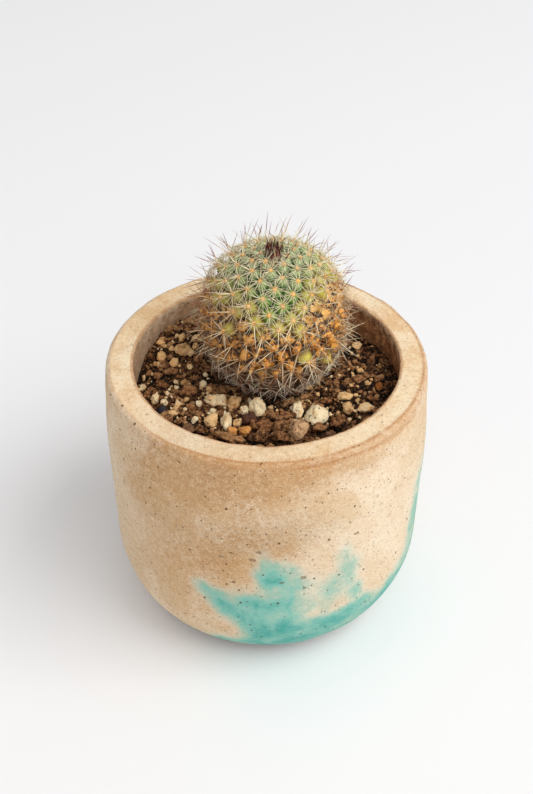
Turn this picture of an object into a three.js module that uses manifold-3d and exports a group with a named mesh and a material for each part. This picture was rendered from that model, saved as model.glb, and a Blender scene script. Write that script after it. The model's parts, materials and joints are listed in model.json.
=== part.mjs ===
// A round cactus in a small stone-like pot: pot, soil, cactus with its spines, and loose stones on the soil.
// Millimetres, +Z up. The origin is the centre of the pot's foot, on the surface that it stands on.

import * as THREE from 'three';
import { ConvexHull } from 'three/addons/math/ConvexHull.js';
import { mergeVertices } from 'three/addons/utils/BufferGeometryUtils.js';
import Module from 'manifold-3d';

const wasm = await Module();
wasm.setup();

// ---------- driving dimensions ----------

const gap = 0.3; // clearance between pieces that touch
const smallestDetail = 0.01; // edges shorter than this, left where spines cross, are closed up
const sameCorner = 1e-4; // corners nearer than this are one

const pot = {
  height: 85,
  segments: 48,
  footRadius: 25, // flat ring that it stands on
  roundTop: 28, // height where the rounded bottom meets the wall
  wallFoot: 46.1, // radius there
  waist: 46.3, // widest radius, a little below the rim
  waistHeight: 60,
  rimRadius: 45, // radius just under the rounded outer lip
  rimInner: 37.4, // radius of the mouth
  lip: 2.1, // radius of both lips
  innerWaist: 38.2, // the bore widens a little below the mouth
  floor: 9, // thickness of the floor
  innerFloorRadius: 18,
  innerRoundTop: 36,
  drainRadius: 4,
  roundSteps: 8, // facets of the rounded bottom
  lipSteps: 2, // facets of each lip's quarter
  boreSteps: 5, // facets of the bore's rounded bottom
};

const soilLevel = 75; // ten below the rim
const soilLattice = 3.4; // spacing of the lumps in the soil's relief
const soilLump = 1.1; // height of those lumps
const soilRings = 9; // rings of points on the soil's surface
const soilHighest = 4; // most that it stands above its level at the wall
const heaps = [ // soft heaps, and hollows with a height below zero: at back left, right, left and back right
  { at: [-24, 17], width: 9, height: soilHighest },
  { at: [31, -2], width: 9, height: 1.8 },
  { at: [-35, 2], width: 7, height: -2 },
  { at: [27, 25], width: 8, height: -1 },
];
const scatter = { x: 127.1, y: 311.7, stretch: 43758.5453 }; // turns a lattice corner into a random height

const cactus = {
  x: 2,
  y: 4,
  z: 96.3, // height of the widest girth
  radius: 18.3, // at the bottom of the furrows
  crown: 18.2, // from the girth up to the top
  belly: 19.4, // from the girth down to where the globe would close
  neckRadius: 9, // where the globe meets its root neck
  rootRadius: 4,
  rootTip: 61, // height of the lowest point of the root neck
  rootBlunt: 2, // height of the cone under it
  profileSteps: 24, // facets of the crown's outline, and of the belly's
  holeSides: 28, // of the plain hole in the soil
  holeClear: 0.8, // between the root neck and the hole
  holeRim: 1, // the hole is full width from this far below the soil's level
  tubercles: 280, // places on the spiral, the buried ones included
  crowding: 1.2, // above 1, the tubercles are smaller near the top
  tubercleHeight: 2.4,
  lowestTubercle: 80,
};

const spine = {
  seed: 7, // of the random turns and lengths
  centralLength: [5.6, 7.4], // shortest and longest
  centralRadius: 0.34,
  centralLean: [0.15, 0.45], // radians from the tubercle's axis
  radialLength: 4.6,
  radialRadius: 0.25,
  rootDepth: 1.1, // how far each root is sunk under its tubercle's tip
  radialTilt: 1.1, // radians from the tubercle's axis
  radialTurns: [0.9, 3.6], // where the two radials stand round the axis, in radians from the central
  clearHeight: 79.5, // no spine's tip hangs lower than this, so that all stay off the stones
};

// Stones and lumps on the soil: place, then length, width and height, turn in degrees, and colour.
const stones = [
  { name: 'stone_round', at: [13.5, -15.6], size: [6.8, 6.4, 6.0], turn: 20, look: 'cream' },
  { name: 'stone_heart', at: [8.4, -12.4], size: [3.3, 4.4, 4.0], turn: 15, look: 'cream' },
  { name: 'stone_centre', at: [-2.3, -12.4], size: [5.0, 4.0, 4.6], turn: -10, look: 'cream' },
  { name: 'stone_flat', at: [-14.0, -8.2], size: [6.6, 3.9, 2.9], turn: -8, look: 'cream' },
  { name: 'stone_long', at: [-11.0, -17.2], size: [2.3, 5.4, 3.6], turn: 10, look: 'cream' },
  { name: 'stone_middle', at: [-6.2, -13.0], size: [2.5, 2.5, 2.8], turn: 40, look: 'cream' },
  { name: 'stone_greyish', at: [-8.9, -9.9], size: [3.8, 3.6, 3.4], turn: 30, look: 'tan' },
  { name: 'stone_tan_left', at: [-15.1, -17.1], size: [3.3, 3.1, 3.2], turn: 5, look: 'tan' },
  { name: 'stone_small_left', at: [-14.6, -13.0], size: [1.9, 1.8, 1.9], turn: 0, look: 'cream' },
  { name: 'stone_grey', at: [-7.9, -18.0], size: [2.4, 2.3, 2.4], turn: 25, look: 'tan' },
  { name: 'stone_orange', at: [-9.2, -21.6], size: [2.5, 2.4, 2.6], turn: 12, look: 'orange' },
  { name: 'stone_amber', at: [-5.8, -21.6], size: [3.4, 3.2, 3.0], turn: -20, look: 'orange' },
  { name: 'stone_west_a', at: [-18.6, -9.7], size: [1.9, 2.0, 2.1], turn: 33, look: 'cream' },
  { name: 'stone_west_b', at: [-31.0, -7.4], size: [2.2, 2.9, 3.0], turn: -15, look: 'cream' },
  { name: 'stone_west_c', at: [-28.4, -8.8], size: [2.2, 2.2, 2.2], turn: 18, look: 'cream' },
  { name: 'stone_west_d', at: [-25.8, -13.9], size: [3.0, 2.0, 1.9], turn: -18, look: 'tan' },
  { name: 'stone_west_e', at: [-19.5, -16.4], size: [2.0, 1.9, 1.9], turn: 50, look: 'cream' },
  { name: 'stone_west_f', at: [-24.6, -9.4], size: [1.9, 1.9, 1.9], turn: 5, look: 'cream' },
  { name: 'stone_west_g', at: [-18.0, -1.4], size: [2.0, 2.1, 2.0], turn: 5, look: 'cream' },
  { name: 'stone_west_h', at: [-35.2, -0.6], size: [1.9, 1.9, 2.0], turn: 60, look: 'cream' },
  { name: 'stone_east_a', at: [22.5, -12.4], size: [3.1, 3.0, 2.9], turn: 22, look: 'tan' },
  { name: 'stone_east_b', at: [26.9, -13.0], size: [4.8, 3.5, 3.2], turn: 14, look: 'cream' },
  { name: 'stone_east_c', at: [21.7, -7.6], size: [4.3, 2.3, 2.3], turn: -12, look: 'tan' },
  { name: 'stone_east_d', at: [31.4, -4.4], size: [2.3, 2.5, 2.0], turn: 30, look: 'orange' },
  { name: 'stone_back_a', at: [-24.0, 11.2], size: [5.8, 4.2, 3.6], turn: -25, look: 'tan' },
  { name: 'stone_back_b', at: [-30.4, 9.8], size: [2.8, 2.9, 2.5], turn: 10, look: 'cream' },
  { name: 'stone_back_c', at: [-26.6, 7.0], size: [2.8, 2.7, 2.4], turn: 45, look: 'cream' },
  { name: 'stone_back_d', at: [-12.4, 28.8], size: [3.6, 2.8, 2.6], turn: -35, look: 'cream' },
  { name: 'stone_back_e', at: [14.8, 28.0], size: [4.2, 3.4, 3.0], turn: 28, look: 'tan' },
  { name: 'stone_back_f', at: [26.8, 17.2], size: [3.0, 2.6, 2.4], turn: -5, look: 'cream' },
  { name: 'lump_front', at: [8.6, -20.9], size: [5.5, 4.9, 4.6], turn: 35, look: 'bark' },
  { name: 'lump_middle', at: [-4.5, -17.2], size: [3.7, 3.4, 3.4], turn: 12, look: 'bark' },
  { name: 'lump_left', at: [-21.2, -21.4], size: [4.6, 3.6, 3.0], turn: 40, look: 'bark' },
  { name: 'lump_right', at: [16.8, -24.0], size: [4.2, 3.4, 3.0], turn: -30, look: 'bark' },
  { name: 'lump_black', at: [-28.9, -12.3], size: [2.6, 2.4, 2.2], turn: 8, look: 'black' },
  { name: 'lump_back', at: [1.6, 31.0], size: [4.8, 3.6, 3.0], turn: 15, look: 'bark' },
];
const stoneSink = 0.3; // share of a stone's height that lies under the soil's mean surface
const stoneRoughness = 0.13; // how far its corners stand in or out, as a share of its size
const pocketGap = 0.35; // between a stone and its pocket in the soil

const looks = {
  pot: { color: 0xcfa67c, roughness: 0.85 },
  soil: { color: 0x3a2718, roughness: 1 },
  cactus: { color: 0x7f8f45, roughness: 0.7 },
  cream: { color: 0xe3cda6, roughness: 0.95 },
  tan: { color: 0xb08a5e, roughness: 0.95 },
  orange: { color: 0xb8763c, roughness: 0.95 },
  bark: { color: 0x4e3220, roughness: 1 },
  black: { color: 0x26231f, roughness: 0.9 },
};

// ---------- helpers ----------

const goldenAngle = Math.PI * (3 - Math.sqrt(5));
const quarterTurn = Math.PI / 2;
const draw = { factor: 1664525, step: 1013904223, range: 2 ** 32 }; // of the random numbers

function seededRandom(seed) {
  let state = seed;
  return () => {
    state = (state * draw.factor + draw.step) % draw.range;
    return state / draw.range;
  };
}

// Points on a quarter ellipse round a centre, from one angle to another.
function arc(centreR, centreZ, a, b, from, to, steps) {
  return Array.from({ length: steps + 1 }, (_, i) => {
    const angle = from + (to - from) * i / steps;
    return new THREE.Vector2(centreR + a * Math.cos(angle), centreZ + b * Math.sin(angle));
  });
}

// A closed body from a geometry: seams merged, flat leftovers at the poles dropped, faces outward.
function solidOf(geometry) {
  const bare = geometry.clone();
  bare.deleteAttribute('normal');
  bare.deleteAttribute('uv');
  const merged = mergeVertices(bare, sameCorner);
  const index = merged.index.array;
  const triangles = [];
  for (let i = 0; i < index.length; i += 3) {
    const [a, b, c] = index.slice(i, i + 3);
    if (a !== b && b !== c && c !== a) triangles.push(a, b, c);
  }
  const vertProperties = new Float32Array(merged.getAttribute('position').array);
  if (enclosedVolume(vertProperties, triangles) < 0) triangles.reverse();
  const triVerts = new Uint32Array(triangles);
  return new wasm.Manifold(new wasm.Mesh({ numProp: 3, vertProperties, triVerts }));
}

function enclosedVolume(positions, triangles) {
  const [a, b, c] = [new THREE.Vector3(), new THREE.Vector3(), new THREE.Vector3()];
  let sum = 0;
  for (let i = 0; i < triangles.length; i += 3) {
    a.fromArray(positions, 3 * triangles[i]);
    b.fromArray(positions, 3 * triangles[i + 1]);
    c.fromArray(positions, 3 * triangles[i + 2]);
    sum += a.dot(b.cross(c));
  }
  return sum;
}

function geometryOf(solid) {
  const mesh = solid.getMesh();
  const geometry = new THREE.BufferGeometry();
  geometry.setAttribute('position', new THREE.BufferAttribute(new Float32Array(mesh.vertProperties), 3));
  geometry.setIndex(new THREE.BufferAttribute(new Uint32Array(mesh.triVerts), 1));
  geometry.computeVertexNormals();
  return geometry;
}

function largestBody(solid) {
  return solid.decompose().reduce((best, body) => (body.volume() > best.volume() ? body : best));
}

function lathe(profile, segments) {
  return new THREE.LatheGeometry(profile, segments).rotateX(quarterTurn);
}

function piece(name, geometry, look) {
  const mesh = new THREE.Mesh(geometry, new THREE.MeshStandardMaterial({ ...looks[look], metalness: 0 }));
  mesh.name = name;
  return mesh;
}

// ---------- pot ----------

// The rounded lower part of the bore, drawn in by an inset.
function boreRound(inset) {
  const wide = pot.innerWaist - pot.innerFloorRadius;
  const high = pot.innerRoundTop - pot.floor;
  const [centreR, centreZ] = [pot.innerFloorRadius - inset, pot.innerRoundTop + inset];
  return arc(centreR, centreZ, wide, high, 0, -quarterTurn, pot.boreSteps);
}

// The bore narrows evenly from its waist to the mouth.
function boreRadius(z) {
  const share = (z - pot.innerRoundTop) / (pot.height - pot.lip - pot.innerRoundTop);
  return THREE.MathUtils.lerp(pot.innerWaist, pot.rimInner, share);
}

function makePot() {
  const { lip, lipSteps } = pot;
  const lipHeight = pot.height - lip;
  const roundWidth = pot.wallFoot - pot.footRadius;
  const outside = [
    ...arc(pot.footRadius, pot.roundTop, roundWidth, pot.roundTop, -quarterTurn, 0, pot.roundSteps),
    new THREE.Vector2(pot.waist, pot.waistHeight),
    ...arc(pot.rimRadius - lip, lipHeight, lip, lip, 0, quarterTurn, lipSteps),
  ];
  const inside = [
    ...arc(pot.rimInner + lip, lipHeight, lip, lip, quarterTurn, 2 * quarterTurn, lipSteps),
    ...boreRound(0),
    new THREE.Vector2(pot.drainRadius, pot.floor),
  ];
  const foot = new THREE.Vector2(pot.drainRadius, 0);
  return solidOf(lathe([foot, ...outside, ...inside, foot.clone()], pot.segments));
}

// ---------- soil ----------

// Smooth noise between -1 and 1: random heights on a square lattice, blended between its corners.
function latticeNoise(x, y) {
  const corner = (i, j) => {
    const wave = Math.sin(i * scatter.x + j * scatter.y) * scatter.stretch;
    return 2 * (wave - Math.floor(wave)) - 1;
  };
  const [i, j] = [Math.floor(x), Math.floor(y)];
  const ease = (t) => t * t * (3 - 2 * t);
  const [u, v] = [ease(x - i), ease(y - j)];
  const near = corner(i, j) * (1 - u) + corner(i + 1, j) * u;
  const far = corner(i, j + 1) * (1 - u) + corner(i + 1, j + 1) * u;
  return near * (1 - v) + far * v;
}

// The soil's surface without its lumps: its level, and a soft bell for each heap or hollow.
function soilMean(x, y) {
  return heaps.reduce((sum, { at, width, height }) => {
    const away = (x - at[0]) ** 2 + (y - at[1]) ** 2;
    return sum + height * Math.exp(-away / (2 * width * width));
  }, soilLevel);
}

function soilHeight(x, y) {
  return soilMean(x, y) + soilLump * latticeNoise(x / soilLattice, y / soilLattice);
}

function makeSoil(pockets) {
  const edge = boreRadius(soilLevel + soilHighest) - gap;
  const ring = edge / soilRings;
  const top = Array.from({ length: soilRings + 1 }, (_, i) => new THREE.Vector2(ring * i, soilLevel));
  const bottom = boreRound(gap);
  const profile = [...top, ...bottom, new THREE.Vector2(0, pot.floor + gap)];
  const geometry = lathe(profile, pot.segments);
  const position = geometry.getAttribute('position');
  for (let i = 0; i < position.count; i++) {
    const [x, y, z] = [position.getX(i), position.getY(i), position.getZ(i)];
    if (z > soilLevel - smallestDetail) position.setZ(i, soilHeight(x, y));
  }
  return largestBody(pockets.reduce((soil, pocket) => soil.subtract(pocket), solidOf(geometry)));
}

// The plain hole that the cactus stands in: a funnel round its root neck, open upward.
function makeCactusHole() {
  const clear = cactus.holeClear;
  const mouth = cactus.neckRadius + clear;
  const profile = [
    new THREE.Vector2(0, cactus.rootTip - clear),
    new THREE.Vector2(cactus.rootRadius + clear, cactus.rootTip),
    new THREE.Vector2(mouth, soilLevel - cactus.holeRim),
    new THREE.Vector2(mouth, cactus.z),
    new THREE.Vector2(0, cactus.z),
  ];
  return solidOf(lathe(profile, cactus.holeSides).translate(cactus.x, cactus.y, 0));
}

// ---------- cactus ----------

// The globe's outline from its top: a quarter ellipse to the girth, most of one below it, then the neck.
function girthProfile() {
  const steps = cactus.profileSteps;
  const crown = arc(0, cactus.z, cactus.radius, cactus.crown, quarterTurn, 0, steps);
  const lowest = -Math.acos(cactus.neckRadius / cactus.radius);
  const belly = arc(0, cactus.z, cactus.radius, cactus.belly, 0, lowest, steps).slice(1);
  const root = [
    new THREE.Vector2(cactus.rootRadius, cactus.rootTip + cactus.rootBlunt),
    new THREE.Vector2(0, cactus.rootTip),
  ];
  return [...crown, ...belly, ...root];
}

// Maps a share of the whole surface, counted from the top, to a point and its outward direction.
function surfaceMap() {
  const profile = girthProfile();
  const areas = [0];
  for (let i = 1; i < profile.length; i++) {
    const [p, q] = [profile[i - 1], profile[i]];
    areas.push(areas[i - 1] + (p.x + q.x) * p.distanceTo(q));
  }
  const whole = areas[areas.length - 1];
  return (share, turn, lift) => {
    const wanted = share * whole;
    let i = 1;
    while (i < profile.length - 1 && areas[i] < wanted) i++;
    const t = (wanted - areas[i - 1]) / (areas[i] - areas[i - 1]);
    const at = profile[i - 1].clone().lerp(profile[i], t);
    const along = profile[i].clone().sub(profile[i - 1]).normalize();
    const axis = new THREE.Vector3(-along.y * Math.cos(turn), -along.y * Math.sin(turn), along.x);
    const point = new THREE.Vector3(
      cactus.x + at.x * Math.cos(turn),
      cactus.y + at.x * Math.sin(turn),
      at.y,
    ).addScaledVector(axis, at.y > cactus.lowestTubercle ? lift : 0);
    return { point, axis, height: at.y };
  };
}

// The spiral of tubercles: shares of the surface, smaller near the top, each turned on by the golden angle.
function spiralPlaces() {
  return Array.from({ length: cactus.tubercles }, (_, k) => ({
    share: ((k + 0.5) / cactus.tubercles) ** cactus.crowding,
    turn: k * goldenAngle,
  }));
}

// Each tubercle is a pyramid: its tip stands on the spiral, and each corner of its foot between three tips.
function makeGlobe(places, onSurface) {
  const onBall = places.map(({ share, turn }) => {
    const z = 1 - 2 * share;
    const r = Math.sqrt(1 - z * z);
    return new THREE.Vector3(r * Math.cos(turn), r * Math.sin(turn), z);
  });
  const number = new Map(onBall.map((p, i) => [p, i]));
  const points = places.map(({ share, turn }) => onSurface(share, turn, cactus.tubercleHeight).point);
  const faceLeftOf = new Map();
  for (const face of new ConvexHull().setFromPoints(onBall).faces) {
    const corners = [];
    let edge = face.edge;
    do {
      corners.push(number.get(edge.head().point));
      edge = edge.next;
    } while (edge !== face.edge);
    const middle = corners.reduce((sum, i) => sum.add(onBall[i]), new THREE.Vector3()).normalize();
    points.push(onSurface((1 - middle.z) / 2, Math.atan2(middle.y, middle.x), 0).point);
    corners.forEach((a, i) => faceLeftOf.set(`${a},${corners[(i + 1) % 3]}`, points.length - 1));
  }
  const triangles = [];
  for (const [key, left] of faceLeftOf) {
    const [a, b] = key.split(',').map(Number);
    triangles.push(a, faceLeftOf.get(`${b},${a}`), left);
  }
  const geometry = new THREE.BufferGeometry().setFromPoints(points);
  geometry.setIndex(triangles);
  return solidOf(geometry);
}

// A three-sided spine: its foot is a small triangle and it runs to a point.
function makeSpine(root, direction, length, radius) {
  const side = new THREE.Vector3(0, 0, 1).cross(direction);
  if (side.lengthSq() < smallestDetail) side.set(1, 0, 0);
  side.normalize();
  const other = direction.clone().cross(side);
  const foot = [0, 1, 2].map((i) => {
    const angle = i * 4 * quarterTurn / 3;
    return root.clone().addScaledVector(side, radius * Math.cos(angle))
      .addScaledVector(other, radius * Math.sin(angle));
  });
  const tip = root.clone().addScaledVector(direction, length);
  const geometry = new THREE.BufferGeometry().setFromPoints([...foot, tip]);
  geometry.setIndex([2, 1, 0, 0, 1, 3, 1, 2, 3, 2, 0, 3]);
  return solidOf(geometry);
}

// One central spine that stands out, and two radial spines that lie along the surface, on every tubercle.
function makeSpines(places, onSurface) {
  const random = seededRandom(spine.seed);
  const spines = [];
  for (const { share, turn } of places) {
    const { point, axis, height } = onSurface(share, turn, cactus.tubercleHeight);
    const root = point.clone().addScaledVector(axis, -spine.rootDepth);
    const side = new THREE.Vector3(-Math.sin(turn), Math.cos(turn), 0);
    const up = axis.clone().cross(side);
    const around = 4 * quarterTurn * random();
    const lean = THREE.MathUtils.lerp(...spine.centralLean, random());
    const centralLength = THREE.MathUtils.lerp(...spine.centralLength, random());
    if (height <= cactus.lowestTubercle) continue;
    const leaning = (angle, tilt) => axis.clone().multiplyScalar(Math.cos(tilt))
      .addScaledVector(side, Math.sin(tilt) * Math.cos(angle))
      .addScaledVector(up, Math.sin(tilt) * Math.sin(angle));
    const tuft = [
      [leaning(around, lean), centralLength, spine.centralRadius],
      ...spine.radialTurns.map((onward) => [
        leaning(around + onward, spine.radialTilt), spine.radialLength, spine.radialRadius,
      ]),
    ];
    for (const [direction, length, radius] of tuft) {
      const whole = length + spine.rootDepth;
      const tipHeight = root.z + direction.z * whole;
      if (tipHeight > spine.clearHeight) spines.push(makeSpine(root, direction, whole, radius));
    }
  }
  return spines;
}

function makeCactus() {
  const places = spiralPlaces();
  const onSurface = surfaceMap();
  const globe = makeGlobe(places, onSurface);
  const grown = wasm.Manifold.union([globe, ...makeSpines(places, onSurface)]);
  return largestBody(solidOf(geometryOf(grown.asOriginal().simplify(smallestDetail))));
}

// ---------- stones ----------

// A chip with twelve worn faces, its corners moved in or out a little; grow widens it on all sides.
function makeStone({ at, size, turn }, seed, grow) {
  const random = seededRandom(seed);
  const geometry = mergeCorners(new THREE.DodecahedronGeometry(1, 0));
  const position = geometry.getAttribute('position');
  const corner = new THREE.Vector3();
  for (let i = 0; i < position.count; i++) {
    const reach = 1 - stoneRoughness + 2 * stoneRoughness * random();
    corner.fromBufferAttribute(position, i).multiplyScalar(reach);
    position.setXYZ(i, corner.x, corner.y, corner.z);
  }
  const [length, width, height] = size;
  geometry.scale(length / 2 + grow, width / 2 + grow, height / 2 + grow);
  geometry.rotateZ(THREE.MathUtils.degToRad(turn));
  geometry.translate(at[0], at[1], soilMean(at[0], at[1]) + height * (0.5 - stoneSink));
  return solidOf(geometry);
}

function mergeCorners(geometry) {
  geometry.deleteAttribute('normal');
  geometry.deleteAttribute('uv');
  return mergeVertices(geometry, sameCorner);
}

// ---------- the whole ----------

const pottedCactus = new THREE.Group();
const stonePockets = stones.map((stone, i) => makeStone(stone, i + 1, pocketGap));
pottedCactus.add(
  piece('pot', geometryOf(makePot()), 'pot'),
  piece('soil', geometryOf(makeSoil([makeCactusHole(), ...stonePockets])), 'soil'),
  piece('cactus', geometryOf(makeCactus()), 'cactus'),
  ...stones.map((stone, i) => piece(stone.name, geometryOf(makeStone(stone, i + 1, 0)), stone.look)),
);

export default pottedCactus;
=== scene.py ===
import json
import math

import bpy
import numpy as np
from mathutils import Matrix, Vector


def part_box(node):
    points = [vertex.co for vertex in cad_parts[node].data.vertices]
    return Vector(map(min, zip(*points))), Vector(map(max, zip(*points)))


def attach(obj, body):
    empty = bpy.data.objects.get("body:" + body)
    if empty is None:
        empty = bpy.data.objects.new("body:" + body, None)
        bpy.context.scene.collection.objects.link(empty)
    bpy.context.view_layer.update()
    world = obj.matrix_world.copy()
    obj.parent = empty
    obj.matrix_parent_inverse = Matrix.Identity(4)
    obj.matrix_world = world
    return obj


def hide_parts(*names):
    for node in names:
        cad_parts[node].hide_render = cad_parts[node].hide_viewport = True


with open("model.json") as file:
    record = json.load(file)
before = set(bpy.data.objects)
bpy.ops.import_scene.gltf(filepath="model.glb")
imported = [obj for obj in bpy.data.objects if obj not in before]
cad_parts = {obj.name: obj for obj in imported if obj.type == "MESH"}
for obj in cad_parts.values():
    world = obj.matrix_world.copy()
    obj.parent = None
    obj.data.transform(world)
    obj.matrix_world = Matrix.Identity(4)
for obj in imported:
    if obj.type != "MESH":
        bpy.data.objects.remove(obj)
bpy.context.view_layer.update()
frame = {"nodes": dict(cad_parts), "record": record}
print("frame loaded:", len(frame["nodes"]), "nodes")

mm = 0.001  # shapes are worked out in millimetres and scaled when their mesh is made
fullTurn = 2 * math.pi
goldenAngle = math.pi * (3 - math.sqrt(5))

studio = {
    "camera": (0, -0.2435, 0.2709), "cameraTarget": (0, 0, 0.0701), "lens": 49.87, "clipStart": 0.01,
    "sky": 0.495,  # strength of the even white light from all round
    "skyTint": (0.985, 0.99, 1.0, 1), "lampTint": (1, 0.985, 0.965), "lampTarget": (0, 0, 0.06),
    # Lamps: place, size and power. The key is high on the right and a little in front, the fill by the camera.
    "lamps": {"key": ((1.78, -0.74, 2.36), 2.1, 56), "fill": ((0.45, -2.1, 2.0), 2.0, 22)},
    "floorHalf": 2.0, "floorHeight": -0.0002, "floorColour": (0.9, 0.903, 0.915, 1),
}


def addObject(name, data):
    made = bpy.data.objects.new(name, data)
    bpy.context.scene.collection.objects.link(made)
    return made


def aim(thing, place, target):
    thing.location = place
    thing.rotation_euler = (Vector(target) - Vector(place)).to_track_quat("-Z", "Y").to_euler()


def makeStudio(s):
    camera = addObject("camera", bpy.data.cameras.new("camera"))
    camera.data.lens, camera.data.clip_start = s["lens"], s["clipStart"]
    aim(camera, s["camera"], s["cameraTarget"])
    bpy.context.scene.camera = camera
    world = bpy.data.worlds.new("studio")
    bpy.context.scene.world = world
    world.use_nodes = True
    background = world.node_tree.nodes["Background"].inputs
    background["Color"].default_value, background["Strength"].default_value = s["skyTint"], s["sky"]
    for name, (place, size, power) in s["lamps"].items():
        lamp = addObject(name, bpy.data.lights.new(name, "AREA"))
        lamp.data.size, lamp.data.energy, lamp.data.color = size, power, s["lampTint"]
        aim(lamp, place, s["lampTarget"])
    bpy.context.scene.view_settings.view_transform = "Standard"


makeStudio(studio)
print("camera and lights ready")

# Odd numbers that scramble a lattice corner's three whole numbers and its seed, then shifts and factors in turn.
scramble = {"corner": (374761393, 668265263, 2246822519), "seed": 40503, "mix": ((15, 2654435761), (13, 3266489917))}


def cornerValue(corner, seed):
    # Scrambles the three whole numbers of each lattice corner into a value between -1 and 1.
    i, j, k = (corner[..., axis].astype(np.uint32) * np.uint32(scramble["corner"][axis]) for axis in range(3))
    value = i + j + k + np.uint32(seed * scramble["seed"])
    for shift, factor in scramble["mix"]:
        value = (value ^ (value >> np.uint32(shift))) * np.uint32(factor)
    return (value ^ (value >> np.uint32(16))).astype(np.float64) / 2 ** 31 - 1


def smoothNoise(points, size, seed=0):
    # Random values on a cubic lattice of this spacing, eased between the eight corners round each point.
    place = points / size
    base = np.floor(place)
    part = place - base
    part = part * part * (3 - 2 * part)
    base = base.astype(np.int64)
    total = np.zeros(points.shape[:-1])
    for corner in np.ndindex(2, 2, 2):
        weight = np.prod(np.where(np.array(corner), part, 1 - part), axis=-1)
        total += weight * cornerValue(base + np.array(corner), seed)
    return total


def roughNoise(points, size, octaves, seed=0, gain=0.5):
    # A sum of noises, each half the size of the one before and gain times as strong.
    return sum(gain ** i * smoothNoise(points, size / 2 ** i, seed + 17 * i) for i in range(octaves))


def waves(points, *rows):
    # A sum of noises, each row giving a size, a strength and a seed.
    return sum(strength * smoothNoise(points, size, seed) for size, strength, seed in rows)


def ease(value, low, high):
    # 0 below low, 1 above high, and an S-shaped curve between.
    share = np.clip((value - low) / (high - low), 0, 1)
    return share * share * (3 - 2 * share)


def hump(value, width):
    # A bell curve, 1 at 0.
    return np.exp(-(value / width) ** 2)


def unit(vectors):
    return vectors / np.linalg.norm(vectors, axis=-1, keepdims=True)


def angles(count):
    return np.arange(count) * fullTurn / count


def boxInMm(node):
    # The two corners of a CAD node's box.
    return [np.array(corner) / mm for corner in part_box(node)]


def gridFaces(rows, columns, wrapRows=False):
    # Quads between neighbours of a grid whose columns run right round.
    row = np.arange(rows if wrapRows else rows - 1)[:, None]
    column = np.arange(columns)[None, :]
    above, right = (row + 1) % rows, (column + 1) % columns
    corners = [row * columns + column, row * columns + right, above * columns + right, above * columns + column]
    return np.stack(np.broadcast_arrays(*corners), -1).reshape(-1, 4)


def closedFaces(rows, columns):
    # The grid's quads, and triangles that close its first and last row, each to a point after the grid's points.
    column = np.arange(columns)
    right = (column + 1) % columns
    first, last = rows * columns, rows * columns + 1
    bottom = np.stack([np.full(columns, first), right, column], -1)
    top = np.stack([np.full(columns, last), (rows - 1) * columns + column, (rows - 1) * columns + right], -1)
    return [gridFaces(rows, columns), np.concatenate([bottom, top])]


def repeatFaces(faces, count, stride):
    # The same faces for each copy, with the corner numbers moved on.
    moves = (np.arange(count) * stride)[:, None, None]
    return [(group[None] + moves).reshape(-1, group.shape[1]) for group in faces]


def enclosedVolume(points, faces):
    # Six times the volume, with each face cut into triangles from its first corner.
    total = 0.0
    for group in faces:
        for i in range(1, group.shape[1] - 1):
            a, b, c = points[group[:, 0]], points[group[:, i]], points[group[:, i + 1]]
            total += np.einsum("ij,ij->", a, np.cross(b, c))
    return total


def makePiece(name, points, faces, material, slot, nodes=(), smooth=True, **traits):
    # Puts arrays of points in millimetres and of faces into a mesh, faces outward, with one attribute per trait.
    # Points in three dimensions are copies of one shape, and a trait has a value for each point or each copy.
    if points.ndim == 3:
        faces = repeatFaces(faces, *points.shape[:2])
        points = points.reshape(-1, 3)
    if enclosedVolume(points - points.mean(0), faces) < 0:
        faces = [group[:, ::-1] for group in faces]
    loops = np.concatenate([group.ravel() for group in faces]).astype(np.int32)
    sizes = np.concatenate([np.full(len(group), group.shape[1]) for group in faces])
    starts = np.concatenate([[0], np.cumsum(sizes)[:-1]]).astype(np.int32)
    mesh = bpy.data.meshes.new(name)
    mesh.vertices.add(len(points))
    mesh.vertices.foreach_set("co", (points * mm).astype(np.float32).ravel())
    mesh.loops.add(len(loops))
    mesh.loops.foreach_set("vertex_index", loops)
    mesh.polygons.add(len(sizes))
    mesh.polygons.foreach_set("loop_start", starts)
    mesh.polygons.foreach_set("use_smooth", np.full(len(sizes), smooth))
    mesh.update(calc_edges=True)
    for key, values in traits.items():
        values = np.ravel(values)
        values = np.repeat(values, len(points) // len(values))
        mesh.attributes.new(key, "FLOAT", "POINT").data.foreach_set("value", values.astype(np.float32))
    mesh.materials.append(material)
    piece = addObject(name, mesh)
    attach(piece, "root")
    if nodes:
        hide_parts(*nodes)
    print("made", name, "with", int((sizes - 2).sum()), "triangles")


def colour(screen):
    # A screen colour of 0 to 255 as the linear one that the shader works with.
    parts = np.array(screen) / 255
    linear = np.where(parts <= 0.04045, parts / 12.92, ((parts + 0.055) / 1.055) ** 2.4)
    return (*linear.tolist(), 1)


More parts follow.
